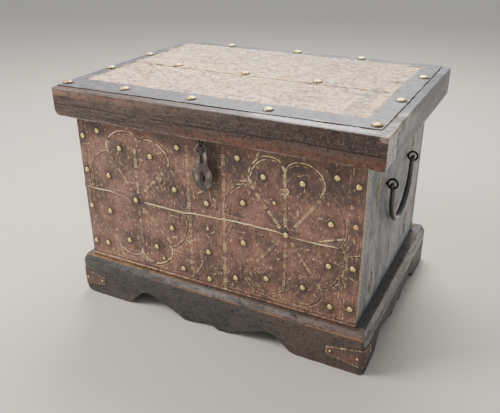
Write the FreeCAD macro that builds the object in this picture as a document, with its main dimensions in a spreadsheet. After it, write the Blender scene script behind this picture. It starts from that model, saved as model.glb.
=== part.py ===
# Dowry chest: a timber carcase faced with tooled leather, on a scalloped plinth, with a
# framed lid on knuckled hinges, an iron hasp and a forged bail handle on each side.
# Frame: X along the front, Y from front to back, Z up. The origin is on the floor, under the
# middle of the lid, which reaches furthest both ways. Millimetres.
import FreeCAD, Part
import Sketcher
import math
import os
import re
from FreeCAD import Placement, Rotation, Vector

doc = FreeCAD.newDocument("DowryChest")
sheet = doc.addObject("Spreadsheet::Sheet", "Sizes")

# Driving dimensions, each set by itself.
SIZES = {
    # lid frame and its boards
    "lid_width": 700,
    "lid_depth": 513,
    "chest_tall": 494,
    "rail_tall": 60,
    "rail_wide": 62,
    "front_lip": 30,
    "right_lip": 19,
    "left_lip": 22,
    "back_lip": 28,
    "rail_arris": 3,
    "left_end_wear": 15,
    "right_end_wear": 5,
    "lid_board_thick": 18,
    "lid_board_joint": 6,
    "board_gap": 0.3,
    "batten_wide": 60,
    "batten_thick": 22,
    # covering of the lid
    "strap_thick": 2,
    "front_strap_wide": 48,
    "right_strap_wide": 39,
    "left_strap_wide": 24,
    "strap_skew": 14,
    "lid_lap_wide": 24,
    "lid_lap_shift": 12,
    # carcase
    "side_overhang": 35,
    "front_overhang": 24,
    "back_overhang": 43.5,
    "wall_thick": 20,
    "rebate_deep": 10,
    "bottom_thick": 15,
    "lid_gap": 0.3,
    "leather_thick": 1.5,
    "front_lap_wide": 12,
    "lap_slope": 3,
    # plinth
    "base_tall": 97,
    "apron_tall": 62,
    "apron_thick": 24,
    "plinth_side_reach": 27,
    "plinth_front_reach": 15,
    "plinth_back_reach": 40,
    "plinth_round": 10,
    "moulding_wide": 65,
    "nose_wide": 8,
    "nose_tall": 14,
    "front_arch_half": 212,
    "front_arch_shift": 12,
    "left_arch_rise": 41,
    "right_arch_rise": 36,
    "front_lobe_lift": 1,
    "front_notch_lift": 15,
    "side_arch_half": 171,
    "side_arch_shift": 13,
    "near_arch_rise": 41,
    "far_arch_rise": 33,
    "side_lobe_lift": 15,
    "side_notch_lift": 27,
    "arch_step": 7,
    "crown_sag": 4,
    "foot_ease": 5,
    "back_arch_rise": 28,
    "left_foot_wear": 26,
    "right_foot_wear": 9,
    # straps round the front corners of the plinth
    "right_strap_leg": 77,
    "left_strap_leg": 63,
    "strap_side_leg": 44,
    "strap_tall": 41,
    "strap_tip_tall": 17,
    "strap_foot": 19,
    "tack_radius": 2.6,
    "tack_tall": 1.8,
    # domed studs
    "lid_stud_radius": 9.5,
    "lid_stud_tall": 5.5,
    "front_stud_radius": 5.4,
    "front_stud_tall": 3.8,
    "small_stud_radius": 3.4,
    "small_stud_tall": 2.4,
    "panel_shift": 4,
    # hasp, its staple and the staple on the chest
    "hasp_place": 3,
    "hasp_standoff": 13,
    "hasp_thick": 2.5,
    "hasp_rod": 3.2,
    "hasp_play": 0.5,
    "hasp_loop": 6.5,
    "hasp_drop": 10,
    "eyelet_radius": 9,
    "lobe_margin": 4,
    "key_slot_wide": 6,
    "key_slot_drop": 37,
    "hasp_neck_drop": 36.5,
    "hasp_flare": 12,
    "hasp_leaf_half": 17.5,
    "hasp_leaf_round": 32,
    "hasp_long": 97.5,
    "almond_drop": 70,
    "almond_tall": 32,
    "almond_round": 26,
    "staple_rod": 3.5,
    "staple_half": 5,
    "staple_reach": 11.3,
    "staple_drop": 73.5,
    "staple_bite": 12,
    "hole_play": 0.05,
    # bail handles and their eyes
    "eye_ring": 9.5,
    "eye_wire": 4,
    "eye_spread": 160,
    "eye_below_lid": 88,
    "eye_place": 15.5,
    "eye_stand": 0.5,
    "eye_shank": 5,
    "eye_tail": 15,
    "eye_tail_thick": 2.5,
    "bail_tip": 9,
    "bail_middle": 13,
    "bail_arm": 72.5,
    "bail_straight": 27,
    "bail_bend": 5,
    "bail_tip_long": 7,
    "bail_play": 0.1,
    # hinges
    "hinge_inset": 115,
    "leaf_wide": 36,
    "leaf_thick": 2.5,
    "body_leaf_long": 92,
    "lid_leaf_long": 33,
    "leaf_round": 10,
    "knuckle_radius": 5,
    "knuckle_gap": 0.3,
    "knuckle_stand": 0.4,
    "pin_radius": 2.5,
    "pin_play": 0.05,
    "pin_head_radius": 3.8,
    "pin_head_thick": 1.6,
    "nail_radius": 4,
    "nail_tall": 2,
    # what every cut runs past the piece it cuts
    "overrun": 5,
}

for row, (alias, number) in enumerate(SIZES.items(), start=1):
    sheet.set(f"A{row}", alias.replace("_", " "))
    sheet.set(f"B{row}", str(number))
    sheet.setAlias(f"B{row}", alias)
doc.recompute()

# Places and sizes that follow from the driving dimensions.
PLACES = {
    "lid_front": "-lid_depth / 2",
    "lid_back": "lid_depth / 2",
    "lid_bottom": "chest_tall - rail_tall",
    "body_width": "lid_width - 2 * side_overhang",
    "body_depth": "lid_depth - front_overhang - back_overhang",
    "body_front": "lid_front + front_overhang",
    "board_front": "body_front + leather_thick",
    "board_back": "body_front + body_depth",
    "core_width": "body_width - 2 * leather_thick",
    "core_depth": "body_depth - leather_thick",
    "wall_tall": "lid_bottom - lid_gap - base_tall",
    "front_lap_height": "wall_tall / 2",
    "plinth_width": "body_width + 2 * plinth_side_reach",
    "plinth_depth": "body_depth + plinth_front_reach + plinth_back_reach",
    "plinth_face": "body_front - plinth_front_reach",
    "plinth_middle": "plinth_face + plinth_depth / 2",
    "strap_west": "-lid_width / 2 + left_strap_wide",
    "strap_east": "lid_width / 2 - right_lip",
    "field_front": "lid_front + front_lip + front_strap_wide",
    "field_back": "lid_back - back_lip",
    "field_east": "strap_east - right_strap_wide",
    "hasp_height": "lid_bottom - hasp_drop",
    "hasp_line_y": "body_front - hasp_standoff",
    "hasp_inset": "hasp_line_y - lid_front",
    "staple_height": "hasp_height - staple_drop",
    "staple_hole": "staple_rod + 2 * hole_play",
    "shank_hole": "eye_shank + 2 * hole_play",
    "eye_height": "lid_bottom - eye_below_lid",
    "eye_x": "body_width / 2 + eye_ring + eye_wire / 2 + eye_stand",
    "bail_height": "eye_height - eye_ring + eye_wire / 2 + bail_tip / 2 / cos(22.5 deg) + bail_play",
    "hinge_place": "body_width / 2 - hinge_inset",
    "hinge_y": "board_back + knuckle_radius + knuckle_stand",
    "hinge_z": "lid_bottom - knuckle_radius - knuckle_stand",
    "leaf_out": "knuckle_radius + knuckle_stand",
    "knuckle_half": "leaf_wide / 6",
}


def in_sizes(text):
    """The same expression with every place written out in driving dimensions."""
    longer = re.sub(r"[a-z_]+", lambda word: f"({PLACES[word.group()]})" if word.group() in PLACES
                    else word.group(), text)
    return text if longer == text else in_sizes(longer)


def bound(text):
    """The same expression with every alias named as a cell of the sheet."""
    return re.sub(r"[a-z_]+", lambda word: ("Sizes." if word.group() in SIZES else "") + word.group(),
                  in_sizes(text))


def size(text):
    """The number that an expression over the sheet's aliases comes to."""
    return float(sheet.evalExpression(in_sizes(text)))


def place(piece, x="0", y="0", z="0", turn=0, upright=False):
    """Turn a piece about Z, after standing it on its edge if upright, and bind where it lies."""
    stand = Rotation(Vector(1, 0, 0), 90) if upright else Rotation()
    piece.Placement = Placement(Vector(), Rotation(Vector(0, 0, 1), turn) * stand)
    for side, text in zip("xyz", (x, y, z)):
        piece.setExpression(f"Placement.Base.{side}", bound(text))
    return piece


def new_body(label):
    made = doc.addObject("PartDesign::Body", label)
    made.Label = label
    return made


def block(label, length, width, height, x, y, z):
    """A plain board with its low corner at x, y, z."""
    made = doc.addObject("Part::Box", label)
    made.Label = label
    made.setExpression("Length", bound(length))
    made.setExpression("Width", bound(width))
    made.setExpression("Height", bound(height))
    return place(made, x, y, z)


def new_sketch(body, role, lift="0"):
    """An empty sketch on one of the body's own planes, lifted off it if asked."""
    sketch = body.newObject("Sketcher::SketchObject", body.Label + "_sketch")
    plane = next(item for item in body.Origin.OriginFeatures if item.Role == role)
    sketch.AttachmentSupport = [(plane, "")]
    sketch.MapMode = "FlatFace"
    sketch.setExpression("AttachmentOffset.Base.z", bound(lift))
    return sketch


def hold(sketch, kind, *target, text):
    """Add a dimension to a sketch and bind it to the sheet."""
    index = sketch.addConstraint(Sketcher.Constraint(kind, *target, size(text)))
    sketch.setExpression(f"Constraints[{index}]", bound(text))


def arc_middle(start, end, radius, turn):
    """The middle point of the short arc from start to end that turns left (1) or right (-1)."""
    chord = end - start
    half = chord.Length / 2
    sagitta = radius - math.sqrt(max(radius ** 2 - half ** 2, 0))
    outward = Vector(chord.y, -chord.x, 0).normalize() * turn
    return (start + end) * 0.5 + outward * sagitta


def add_loop(sketch, corners):
    """Add a closed outline to a sketch. Each corner is (across, up), or (across, up, radius, turn)
    where an arc of that radius leads on to the next corner, turning left (1) or right (-1)."""
    first = sketch.GeometryCount
    points = [Vector(size(corner[0]), size(corner[1]), 0) for corner in corners]
    starts = []
    for index, corner in enumerate(corners, start=first):
        start = points[index - first]
        end = points[(index - first + 1) % len(corners)]
        if len(corner) == 2:
            sketch.addGeometry(Part.LineSegment(start, end), False)
        else:
            middle = arc_middle(start, end, size(corner[2]), corner[3])
            sketch.addGeometry(Part.Arc(start, middle, end), False)
        near = (sketch.getPoint(index, 1) - start).Length < (sketch.getPoint(index, 2) - start).Length
        starts.append((1, 2) if near else (2, 1))
    for index, corner in enumerate(corners):
        after = (index + 1) % len(corners)
        joint = (first + index, starts[index][1], first + after, starts[after][0])
        sketch.addConstraint(Sketcher.Constraint("Coincident", *joint))
        hold(sketch, "DistanceX", -1, 1, first + index, starts[index][0], text=corner[0])
        hold(sketch, "DistanceY", -1, 1, first + index, starts[index][0], text=corner[1])
        if len(corner) > 2:
            hold(sketch, "Radius", first + index, text=corner[2])


def draw_outline(body, role, corners, lift="0"):
    """A sketch of one closed outline."""
    sketch = new_sketch(body, role, lift)
    add_loop(sketch, corners)
    doc.recompute()
    return sketch


def draw_squares(body, role, centres, side):
    """A sketch of equal squares, such as the mouths of chiselled holes."""
    sketch = new_sketch(body, role)
    for across, up in centres:
        add_loop(sketch, [
            (f"{across} - {side} / 2", f"{up} - {side} / 2"),
            (f"{across} + {side} / 2", f"{up} - {side} / 2"),
            (f"{across} + {side} / 2", f"{up} + {side} / 2"),
            (f"{across} - {side} / 2", f"{up} + {side} / 2"),
        ])
    doc.recompute()
    return sketch


def draw_circles(body, role, centres, radius, lift="0"):
    sketch = new_sketch(body, role, lift)
    for index, (across, up) in enumerate(centres):
        centre = Vector(size(across), size(up), 0)
        sketch.addGeometry(Part.Circle(centre, Vector(0, 0, 1), size(radius)), False)
        hold(sketch, "DistanceX", -1, 1, index, 3, text=across)
        hold(sketch, "DistanceY", -1, 1, index, 3, text=up)
        hold(sketch, "Radius", index, text=radius)
    doc.recompute()
    return sketch


def pad(body, sketch, length, reverse=False, both_ways=False):
    made = body.newObject("PartDesign::Pad", body.Label + "_pad")
    made.Profile = sketch
    made.Reversed = reverse
    if both_ways:
        made.SideType = "Symmetric"
    made.setExpression("Length", bound(length))
    doc.recompute()
    return made


def cut(body, sketch, length, reverse=False, both_ways=False):
    """A pocket, which has to take something away."""
    before = body.Shape.Volume
    made = body.newObject("PartDesign::Pocket", body.Label + "_cut")
    made.Profile = sketch
    made.Reversed = reverse
    if both_ways:
        made.SideType = "Symmetric"
    made.setExpression("Length", bound(length))
    doc.recompute()
    if not body.Shape.Volume < before:
        raise RuntimeError(f"{body.Label}: a pocket took nothing away")
    return made


def dress_edges(body, kind, chosen, **lengths):
    """Fillet or chamfer the edges of the body that pass the test chosen."""
    base = body.Tip
    names = [f"Edge{index}" for index, edge in enumerate(base.Shape.Edges, start=1) if chosen(edge)]
    made = body.newObject(f"PartDesign::{kind}", f"{body.Label}_{kind.lower()}")
    made.Base = (base, names)
    if len(lengths) == 2:
        made.ChamferType = "Two distances"
    for name, text in lengths.items():
        made.setExpression(name, bound(text))
    doc.recompute()
    return made


def along(edge, axis):
    """Whether an edge is a straight one along an axis of its body."""
    if not isinstance(edge.Curve, Part.Line):
        return False
    return abs(abs(edge.Curve.Direction * axis) - 1) < FLAT


def level(number, text):
    """Whether a coordinate is at the place that an expression gives."""
    return abs(number - size(text)) < FLAT


FLAT = 1e-4
EAST = Vector(1, 0, 0)
NORTH = Vector(0, 1, 0)
UP = Vector(0, 0, 1)

# Quarter turns that the four sides of a frame are built with: front, right, back, left.
TURN = {"front": 0, "right": 90, "back": 180, "left": -90}


def frame_half(side):
    """Half the length of one side of the plinth."""
    return "plinth_width / 2" if side in ("front", "back") else "plinth_depth / 2"


def frame_place(side):
    """Where the outer face of the plinth is, in the middle of a side."""
    return {
        "front": ("0", "plinth_face"),
        "right": ("plinth_width / 2", "plinth_middle"),
        "back": ("0", "plinth_face + plinth_depth"),
        "left": ("-plinth_width / 2", "plinth_middle"),
    }[side]


def mitred_plan(body, half, wide, inset="0", lift="0"):
    """The plan of one side of a mitred frame: outer edge at y = inset, with rounded corners."""
    rounding = f"(plinth_round - {inset})"
    corner = f"(plinth_round - {rounding} * cos(45 deg))"
    return draw_outline(body, "XY_Plane", [
        (f"-{half} + {corner}", corner, rounding, 1),
        (f"-{half} + plinth_round", inset),
        (f"{half} - plinth_round", inset, rounding, 1),
        (f"{half} - {corner}", corner),
        (f"{half} - {wide}", wide),
        (f"-{half} + {wide}", wide),
    ], lift)


def mitred_board(label, side, wide, tall, z):
    """One side of a mitred frame, with its outer face on local y = 0."""
    body = new_body(label)
    pad(body, mitred_plan(body, frame_half(side), wide), tall)
    x, y = frame_place(side)
    return place(body, x, y, z, TURN[side])


# One half of a scalloped edge from the notch in the middle to the foot, as shares of the half
# span: the lobe beside the notch, a small step, a long slope to the crown, and the drop to the foot.
LOBE_NEAR_SHARE = 0.13
LOBE_FAR_SHARE = 0.28
STEP_SHARE = 0.33
CROWN_NEAR_SHARE = 0.62
CROWN_FAR_SHARE = 0.78
FOOT_SHARE = 0.93


def scallop(body, half, shift, low_rise, high_rise, lobe, notch):
    """Cut the scalloped lower edge, with its notch at local x = shift."""
    lobe_edge = f"{lobe} + crown_sag / 2"

    def half_edge(sign, rise):
        def across(share):
            return f"{shift} + ({sign} * {share} * {half})"
        return [
            (across(LOBE_NEAR_SHARE), lobe_edge),
            (across(LOBE_FAR_SHARE), lobe_edge),
            (across(STEP_SHARE), f"{lobe_edge} + arch_step"),
            (across(CROWN_NEAR_SHARE), f"{rise} - crown_sag"),
            (across(CROWN_FAR_SHARE), f"{rise} - crown_sag"),
            (across(FOOT_SHARE), "foot_ease"),
            (across(1), "0"),
            (across(1), "-overrun"),
        ]

    right = half_edge(1, high_rise)
    left = half_edge(-1, low_rise)[::-1]
    lobe_round = f"0.9 * {half} * ({LOBE_FAR_SHARE} - {LOBE_NEAR_SHARE})"
    crown_round = f"1.1 * {half} * ({CROWN_FAR_SHARE} - {CROWN_NEAR_SHARE})"
    # The way round is: left foot, left crown, left lobe, notch, right lobe, right crown, right foot.
    left[3] = (*left[3], crown_round, -1)
    left[6] = (*left[6], lobe_round, 1)
    right[0] = (*right[0], lobe_round, 1)
    right[3] = (*right[3], crown_round, -1)
    edge = left + [(shift, notch)] + right
    sketch = draw_outline(body, "XZ_Plane", edge)
    cut(body, sketch, "2 * (apron_thick + overrun)", both_ways=True)


def wear_foot(body, half, sign, wear):
    """Round the lower outer corner of an apron, worn where the chest is dragged."""
    corner = [
        (f"{sign} * {half}", wear, wear, sign * -1),
        (f"{sign} * ({half} - {wear})", "0"),
        (f"{sign} * ({half} - {wear})", "-overrun"),
        (f"{sign} * ({half} + overrun)", "-overrun"),
        (f"{sign} * ({half} + overrun)", wear),
    ]
    cut(body, draw_outline(body, "XZ_Plane", corner), "2 * plinth_width", both_ways=True)


def make_aprons():
    """The four scalloped boards that the chest stands on."""
    front = mitred_board("plinth_front", "front", "apron_thick", "apron_tall", "0")
    scallop(front, "front_arch_half", "-front_arch_shift", "left_arch_rise", "right_arch_rise",
            "front_lobe_lift", "front_notch_lift")
    wear_foot(front, "plinth_width / 2", -1, "left_foot_wear")
    wear_foot(front, "plinth_width / 2", 1, "right_foot_wear")
    right = mitred_board("plinth_right", "right", "apron_thick", "apron_tall", "0")
    scallop(right, "side_arch_half", "-side_arch_shift", "near_arch_rise", "far_arch_rise",
            "side_lobe_lift", "side_notch_lift")
    wear_foot(right, "plinth_depth / 2", -1, "right_foot_wear")
    left = mitred_board("plinth_left", "left", "apron_thick", "apron_tall", "0")
    scallop(left, "side_arch_half", "side_arch_shift", "far_arch_rise", "near_arch_rise",
            "side_lobe_lift", "side_notch_lift")
    wear_foot(left, "plinth_depth / 2", 1, "left_foot_wear")
    back = mitred_board("plinth_back", "back", "apron_thick", "apron_tall", "0")
    plain_arch = [
        ("-front_arch_half", "0"),
        ("-front_arch_half", "-overrun"),
        ("front_arch_half", "-overrun"),
        ("front_arch_half", "0"),
        ("front_arch_half - back_arch_rise", "back_arch_rise"),
        ("-front_arch_half + back_arch_rise", "back_arch_rise"),
    ]
    sketch = draw_outline(back, "XZ_Plane", plain_arch)
    cut(back, sketch, "2 * (apron_thick + overrun)", both_ways=True)
    return [front, right, left, back]


def make_base_moulding():
    """The strips on top of the aprons, with a sloping nose, that the carcase stands on."""
    strips = []
    straight = "(base_tall - apron_tall - nose_tall)"
    for side in TURN:
        strip = mitred_board(f"base_moulding_{side}", side, "moulding_wide", straight, "apron_tall")
        half = frame_half(side)
        nose = strip.newObject("PartDesign::AdditiveLoft", f"{strip.Label}_nose")
        nose.Profile = mitred_plan(strip, half, "moulding_wide", lift=straight)
        nose.Sections = [mitred_plan(strip, half, "moulding_wide", "nose_wide", f"{straight} + nose_tall")]
        nose.Ruled = True
        doc.recompute()
        strips.append(strip)
    return strips


def wall_board(label, side, y):
    """A long board of the carcase, rebated at both ends for the side boards."""
    body = new_body(label)
    half = "core_width / 2"
    seat = "(wall_thick - rebate_deep)"
    plan = draw_outline(body, "XY_Plane", [
        (f"-{half}", "0"),
        (half, "0"),
        (half, seat),
        (f"{half} - wall_thick", seat),
        (f"{half} - wall_thick", "wall_thick"),
        (f"-{half} + wall_thick", "wall_thick"),
        (f"-{half} + wall_thick", seat),
        (f"-{half}", seat),
    ])
    pad(body, plan, "wall_tall")
    return place(body, "0", y, "base_tall", TURN[side])


def upright_panel(label, side, long, tall, thick, x, y, z, holes=()):
    """A flat board or skin standing on its edge, outer face on local z = 0, with holes for the
    eyes' shanks at places measured from the middle of its lower edge."""
    body = new_body(label)
    outline = [
        (f"-({long}) / 2", "0"),
        (f"({long}) / 2", "0"),
        (f"({long}) / 2", tall),
        (f"-({long}) / 2", tall),
    ]
    pad(body, draw_outline(body, "XY_Plane", outline), thick, reverse=True)
    if holes:
        sketch = draw_squares(body, "XY_Plane", holes, "shank_hole")
        cut(body, sketch, f"2 * ({thick} + overrun)", both_ways=True)
    return place(body, x, y, z, TURN[side], upright=True)


def eye_holes(side, middle, foot):
    """The two holes for a handle's eyes, seen from outside a side panel centred at y = middle."""
    sign = 1 if side == "right" else -1
    centre = f"{sign} * (-eye_place - ({middle}))"
    return [
        (f"{centre} - eye_spread / 2", f"eye_height - {foot}"),
        (f"{centre} + eye_spread / 2", f"eye_height - {foot}"),
    ]


def make_carcase():
    """Front, back, side and bottom boards, and the leather on the front and sides."""
    front = wall_board("front_board", "front", "board_front")
    staple_holes = [
        ("-hasp_place", "staple_height - base_tall - staple_half"),
        ("-hasp_place", "staple_height - base_tall + staple_half"),
    ]
    sketch = draw_squares(front, "XZ_Plane", staple_holes, "staple_hole")
    cut(front, sketch, "2 * (staple_bite + hole_play)", both_ways=True)
    pieces = [front, wall_board("back_board", "back", "board_back")]
    lap_z = "(base_tall + front_lap_height)"
    side_middle = "(board_front + core_depth / 2)"
    side_long = "core_depth - 2 * (wall_thick - rebate_deep)"
    for side, sign in (("right", 1), ("left", -1)):
        holes = eye_holes(side, side_middle, "base_tall")
        pieces.append(upright_panel(f"{side}_board", side, side_long, "wall_tall", "wall_thick",
                                    f"{sign} * core_width / 2", side_middle, "base_tall", holes))
        pieces.append(upright_panel(f"{side}_side_leather", side, "core_depth", "wall_tall", "leather_thick",
                                    f"{sign} * body_width / 2", side_middle, "base_tall", holes))
    pieces.append(block("bottom_board", "core_width - 2 * (wall_thick + board_gap)",
                        "core_depth - 2 * (wall_thick + board_gap)", "bottom_thick",
                        "-core_width / 2 + wall_thick + board_gap",
                        "board_front + wall_thick + board_gap", "base_tall"))
    pieces.append(upright_panel("front_leather_lower", "front", "body_width",
                                "front_lap_height + front_lap_wide", "leather_thick",
                                "0", "body_front", "base_tall"))
    upper = lapped_leather("front_leather_upper", "body_width", "front_lap_wide",
                           "wall_tall - front_lap_height")
    hole_places = [("-hasp_place", f"staple_height - {lap_z} + {sign} * staple_half") for sign in (-1, 1)]
    sketch = draw_squares(upper, "XY_Plane", hole_places, "staple_hole")
    cut(upper, sketch, "2 * overrun", both_ways=True)
    pieces.append(place(upper, "0", "board_front", lap_z, upright=True))
    return pieces


def lapped_leather(label, long, lap, total):
    """A skin whose first edge is stepped up by its own thickness, to lie over the skin before it.
    Local x runs along the lap, y away from it, and z is out of the board."""
    body = new_body(label)
    profile = draw_outline(body, "YZ_Plane", [
        ("0", "leather_thick"),
        (f"{lap} + board_gap", "leather_thick"),
        (f"{lap} + lap_slope", "0"),
        (total, "0"),
        (total, "leather_thick"),
        (f"{lap} + lap_slope", "leather_thick"),
        (f"{lap} + board_gap", "2 * leather_thick"),
        ("0", "2 * leather_thick"),
    ])
    pad(body, profile, long, both_ways=True)
    return body


def lid_rail(label, side, long, lip, low, high):
    """A rail of the lid frame, rebated from local x = low to high for the lid boards."""
    body = new_body(label)
    section = [("0", "0"), ("rail_wide", "0"), ("rail_wide", "rail_tall"), ("0", "rail_tall")]
    pad(body, draw_outline(body, "YZ_Plane", section), long, both_ways=True)
    seat = [
        (low, lip),
        (high, lip),
        (high, "rail_wide + overrun"),
        (low, "rail_wide + overrun"),
    ]
    cut(body, draw_outline(body, "XY_Plane", seat, lift="rail_tall"), "lid_board_thick")
    x, y = {
        "front": ("0", "lid_front"),
        "right": ("lid_width / 2", "0"),
        "back": ("0", "lid_back"),
        "left": ("-lid_width / 2", "0"),
    }[side]
    return place(body, x, y, "lid_bottom", TURN[side])


def soften_rail(rail, ends):
    """Ease the arrises of a rail's outer face, and its ends where they show."""
    def outer(edge):
        centre = edge.CenterOfMass
        return level(centre.y, "0") and (ends or along(edge, EAST))

    dress_edges(rail, "Fillet", outer, Radius="rail_arris")


def wear_rail_end(rail, sign, wear):
    """Round the lower corner of a rail's end."""
    def lower_end(edge):
        centre = edge.CenterOfMass
        return along(edge, NORTH) and level(centre.x, f"{sign} * lid_width / 2") and level(centre.z, "0")

    dress_edges(rail, "Fillet", lower_end, Radius=wear)


def make_lid_frame():
    """Four rails, the two boards in their rebate and the batten under the boards' joint."""
    inner = "lid_depth - 2 * rail_wide"
    front = lid_rail("lid_rail_front", "front", "lid_width", "front_lip",
                     "-lid_width / 2 + left_lip", "lid_width / 2 - right_lip")
    back = lid_rail("lid_rail_back", "back", "lid_width", "back_lip",
                    "-lid_width / 2 + right_lip", "lid_width / 2 - left_lip")
    right = lid_rail("lid_rail_right", "right", inner, "right_lip",
                     f"-({inner}) / 2 - overrun", f"({inner}) / 2 + overrun")
    left = lid_rail("lid_rail_left", "left", inner, "left_lip",
                    f"-({inner}) / 2 - overrun", f"({inner}) / 2 + overrun")
    wear_rail_end(front, -1, "left_end_wear")
    wear_rail_end(front, 1, "right_end_wear")
    soften_rail(front, ends=True)
    soften_rail(back, ends=True)
    soften_rail(right, ends=False)
    soften_rail(left, ends=False)
    hasp_holes = [("-hasp_place", f"hasp_inset + {sign} * hasp_loop") for sign in (-1, 1)]
    sketch = draw_squares(front, "XY_Plane", hasp_holes, "(hasp_rod + 2 * hole_play)")
    cut(front, sketch, "2 * (staple_bite + hole_play)", both_ways=True)
    west = "(-lid_width / 2 + left_lip + board_gap)"
    board_long = "lid_width - left_lip - right_lip - 2 * board_gap"
    board_z = "chest_tall - lid_board_thick"
    first = "(lid_front + front_lip + board_gap)"
    last = "(lid_back - back_lip - board_gap)"
    boards = [
        block("lid_board_front", board_long, f"-lid_board_joint - {first}", "lid_board_thick",
              west, first, board_z),
        block("lid_board_back", board_long, f"{last} + lid_board_joint", "lid_board_thick",
              west, "-lid_board_joint", board_z),
        block("lid_batten", "lid_width - 2 * (rail_wide + board_gap)", "batten_wide", "batten_thick",
              "-lid_width / 2 + rail_wide + board_gap", "-lid_board_joint - batten_wide / 2",
              f"{board_z} - batten_thick"),
    ]
    return [front, back, right, left] + boards


def lid_strap(label, corners):
    """A flat strap lying on the lid, drawn in plan."""
    body = new_body(label)
    pad(body, draw_outline(body, "XY_Plane", corners), "strap_thick")
    return place(body, "0", "0", "chest_tall")


def make_lid_cover():
    """Straps round the edge of the lid and two skins, lapped in the middle, inside them."""
    straps = [
        lid_strap("lid_strap_front", [
            ("strap_west + board_gap", "lid_front + front_lip - strap_skew"),
            ("strap_east", "lid_front + front_lip"),
            ("strap_east", "field_front - board_gap"),
            ("strap_west + board_gap", "field_front - board_gap"),
        ]),
        lid_strap("lid_strap_right", [
            ("field_east + board_gap", "field_front"),
            ("strap_east", "field_front"),
            ("strap_east", "field_back"),
            ("field_east + board_gap", "field_back"),
        ]),
        lid_strap("lid_strap_back", [
            ("strap_west + board_gap", "field_back + board_gap"),
            ("strap_east", "field_back + board_gap"),
            ("strap_east", "lid_back - rail_arris"),
            ("strap_west + board_gap", "lid_back - rail_arris"),
        ]),
        lid_strap("lid_strap_left", [
            ("-lid_width / 2 + rail_arris", "lid_front + front_lip - strap_skew"),
            ("strap_west", "lid_front + front_lip - strap_skew"),
            ("strap_west", "lid_back - rail_arris"),
            ("-lid_width / 2 + rail_arris", "lid_back - rail_arris"),
        ]),
    ]
    field_long = "(field_east - strap_west - board_gap)"
    field_middle = "((field_east + strap_west + board_gap) / 2)"
    front = block("lid_leather_front", field_long, "lid_lap_wide - lid_lap_shift - field_front",
                  "leather_thick", "strap_west + board_gap", "field_front", "chest_tall")
    back = lapped_leather("lid_leather_back", field_long, "lid_lap_wide", "lid_lap_shift + field_back")
    place(back, field_middle, "-lid_lap_shift", "chest_tall")
    return straps + [front, back]


# A stud's rings, from its rim to its flat crown, as shares of its radius and its height.
DOME_SHARES = [(1, 0), (0.84, 0.5), (0.42, 1)]
DOME_SIDES = 8
ROD_SIDES = 8


def flats(across, sides, on_corner=False):
    """A regular polygon about the origin, in plan, whose sides are this far across. A side faces
    local +X, or a corner does."""
    reach = across / 2 / math.cos(math.pi / sides)
    first = 0 if on_corner else math.pi / sides
    turns = [first + 2 * math.pi * index / sides for index in range(sides)]
    corners = [Vector(reach * math.cos(turn), reach * math.sin(turn), 0) for turn in turns]
    return Part.makePolygon(corners + corners[:1])


def dome(radius, tall):
    """The hammered head of a stud, flat side on local z = 0."""
    rings = []
    for radius_share, height_share in DOME_SHARES:
        ring = flats(2 * radius * radius_share, DOME_SIDES)
        ring.translate(Vector(0, 0, tall * height_share))
        rings.append(ring)
    return Part.makeLoft(rings, True, True)


def stud_group(label, studs):
    """Studs as one node of separate solids: each is a place, an outward way, a radius and a height."""
    made = doc.addObject("Part::Feature", label)
    made.Label = label
    solids = []
    for spot, outward, radius, tall in studs:
        stud = dome(size(radius), size(tall))
        stud.Placement = Placement(spot, Rotation(UP, outward))
        solids.append(stud)
    made.Shape = Part.makeCompound(solids)
    made.Placement = Placement()
    return made


# Places of the lid's studs, as shares of half the lid's width or depth.
FRONT_ROW_SHARES = [-0.564, -0.119, 0.341]
BACK_ROW_SHARES = [-0.578, -0.047, 0.417]
MIDDLE_ROW_SHARES = [-0.592, -0.101, 0.373]
LEFT_COLUMN_SHARES = [-0.857, -0.311, 0.267]
RIGHT_COLUMN_SHARES = [-0.216, 0.504]

# Places of the front's studs on one rosette, as shares of its half width and half height: the
# centre, the eight petals and the four corners. The left and right rosettes differ by hand.
LEFT_ROSETTE_SHARES = [
    (0, 0), (-0.18, 0.66), (0.26, 0.63), (-0.39, 0.26), (0.57, 0.26), (-0.43, -0.25), (0.5, -0.28),
    (-0.17, -0.62), (0.25, -0.61), (-0.49, 0.84), (0.64, 0.81), (-0.53, -0.75), (0.63, -0.83),
]
RIGHT_ROSETTE_SHARES = [
    (0, 0), (-0.28, 0.65), (0.17, 0.66), (-0.53, 0.28), (0.5, 0.25), (-0.53, -0.24), (0.5, -0.27),
    (-0.24, -0.65), (0.21, -0.64), (-0.59, 0.82), (0.54, 0.8), (-0.64, -0.76), (0.54, -0.8),
]
# Studs down the two edges and the middle, as shares of the front's height from its middle.
EDGE_COLUMN_SHARES = [0.74, 0.28, -0.23, -0.76]
MIDDLE_COLUMN_SHARES = [0.17, -0.49, -0.88]
# Small studs, as shares of half the front's width and height.
SMALL_STUD_SHARES = [(0, -0.17), (-0.36, -0.76), (0.467, 0.36)]


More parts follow.
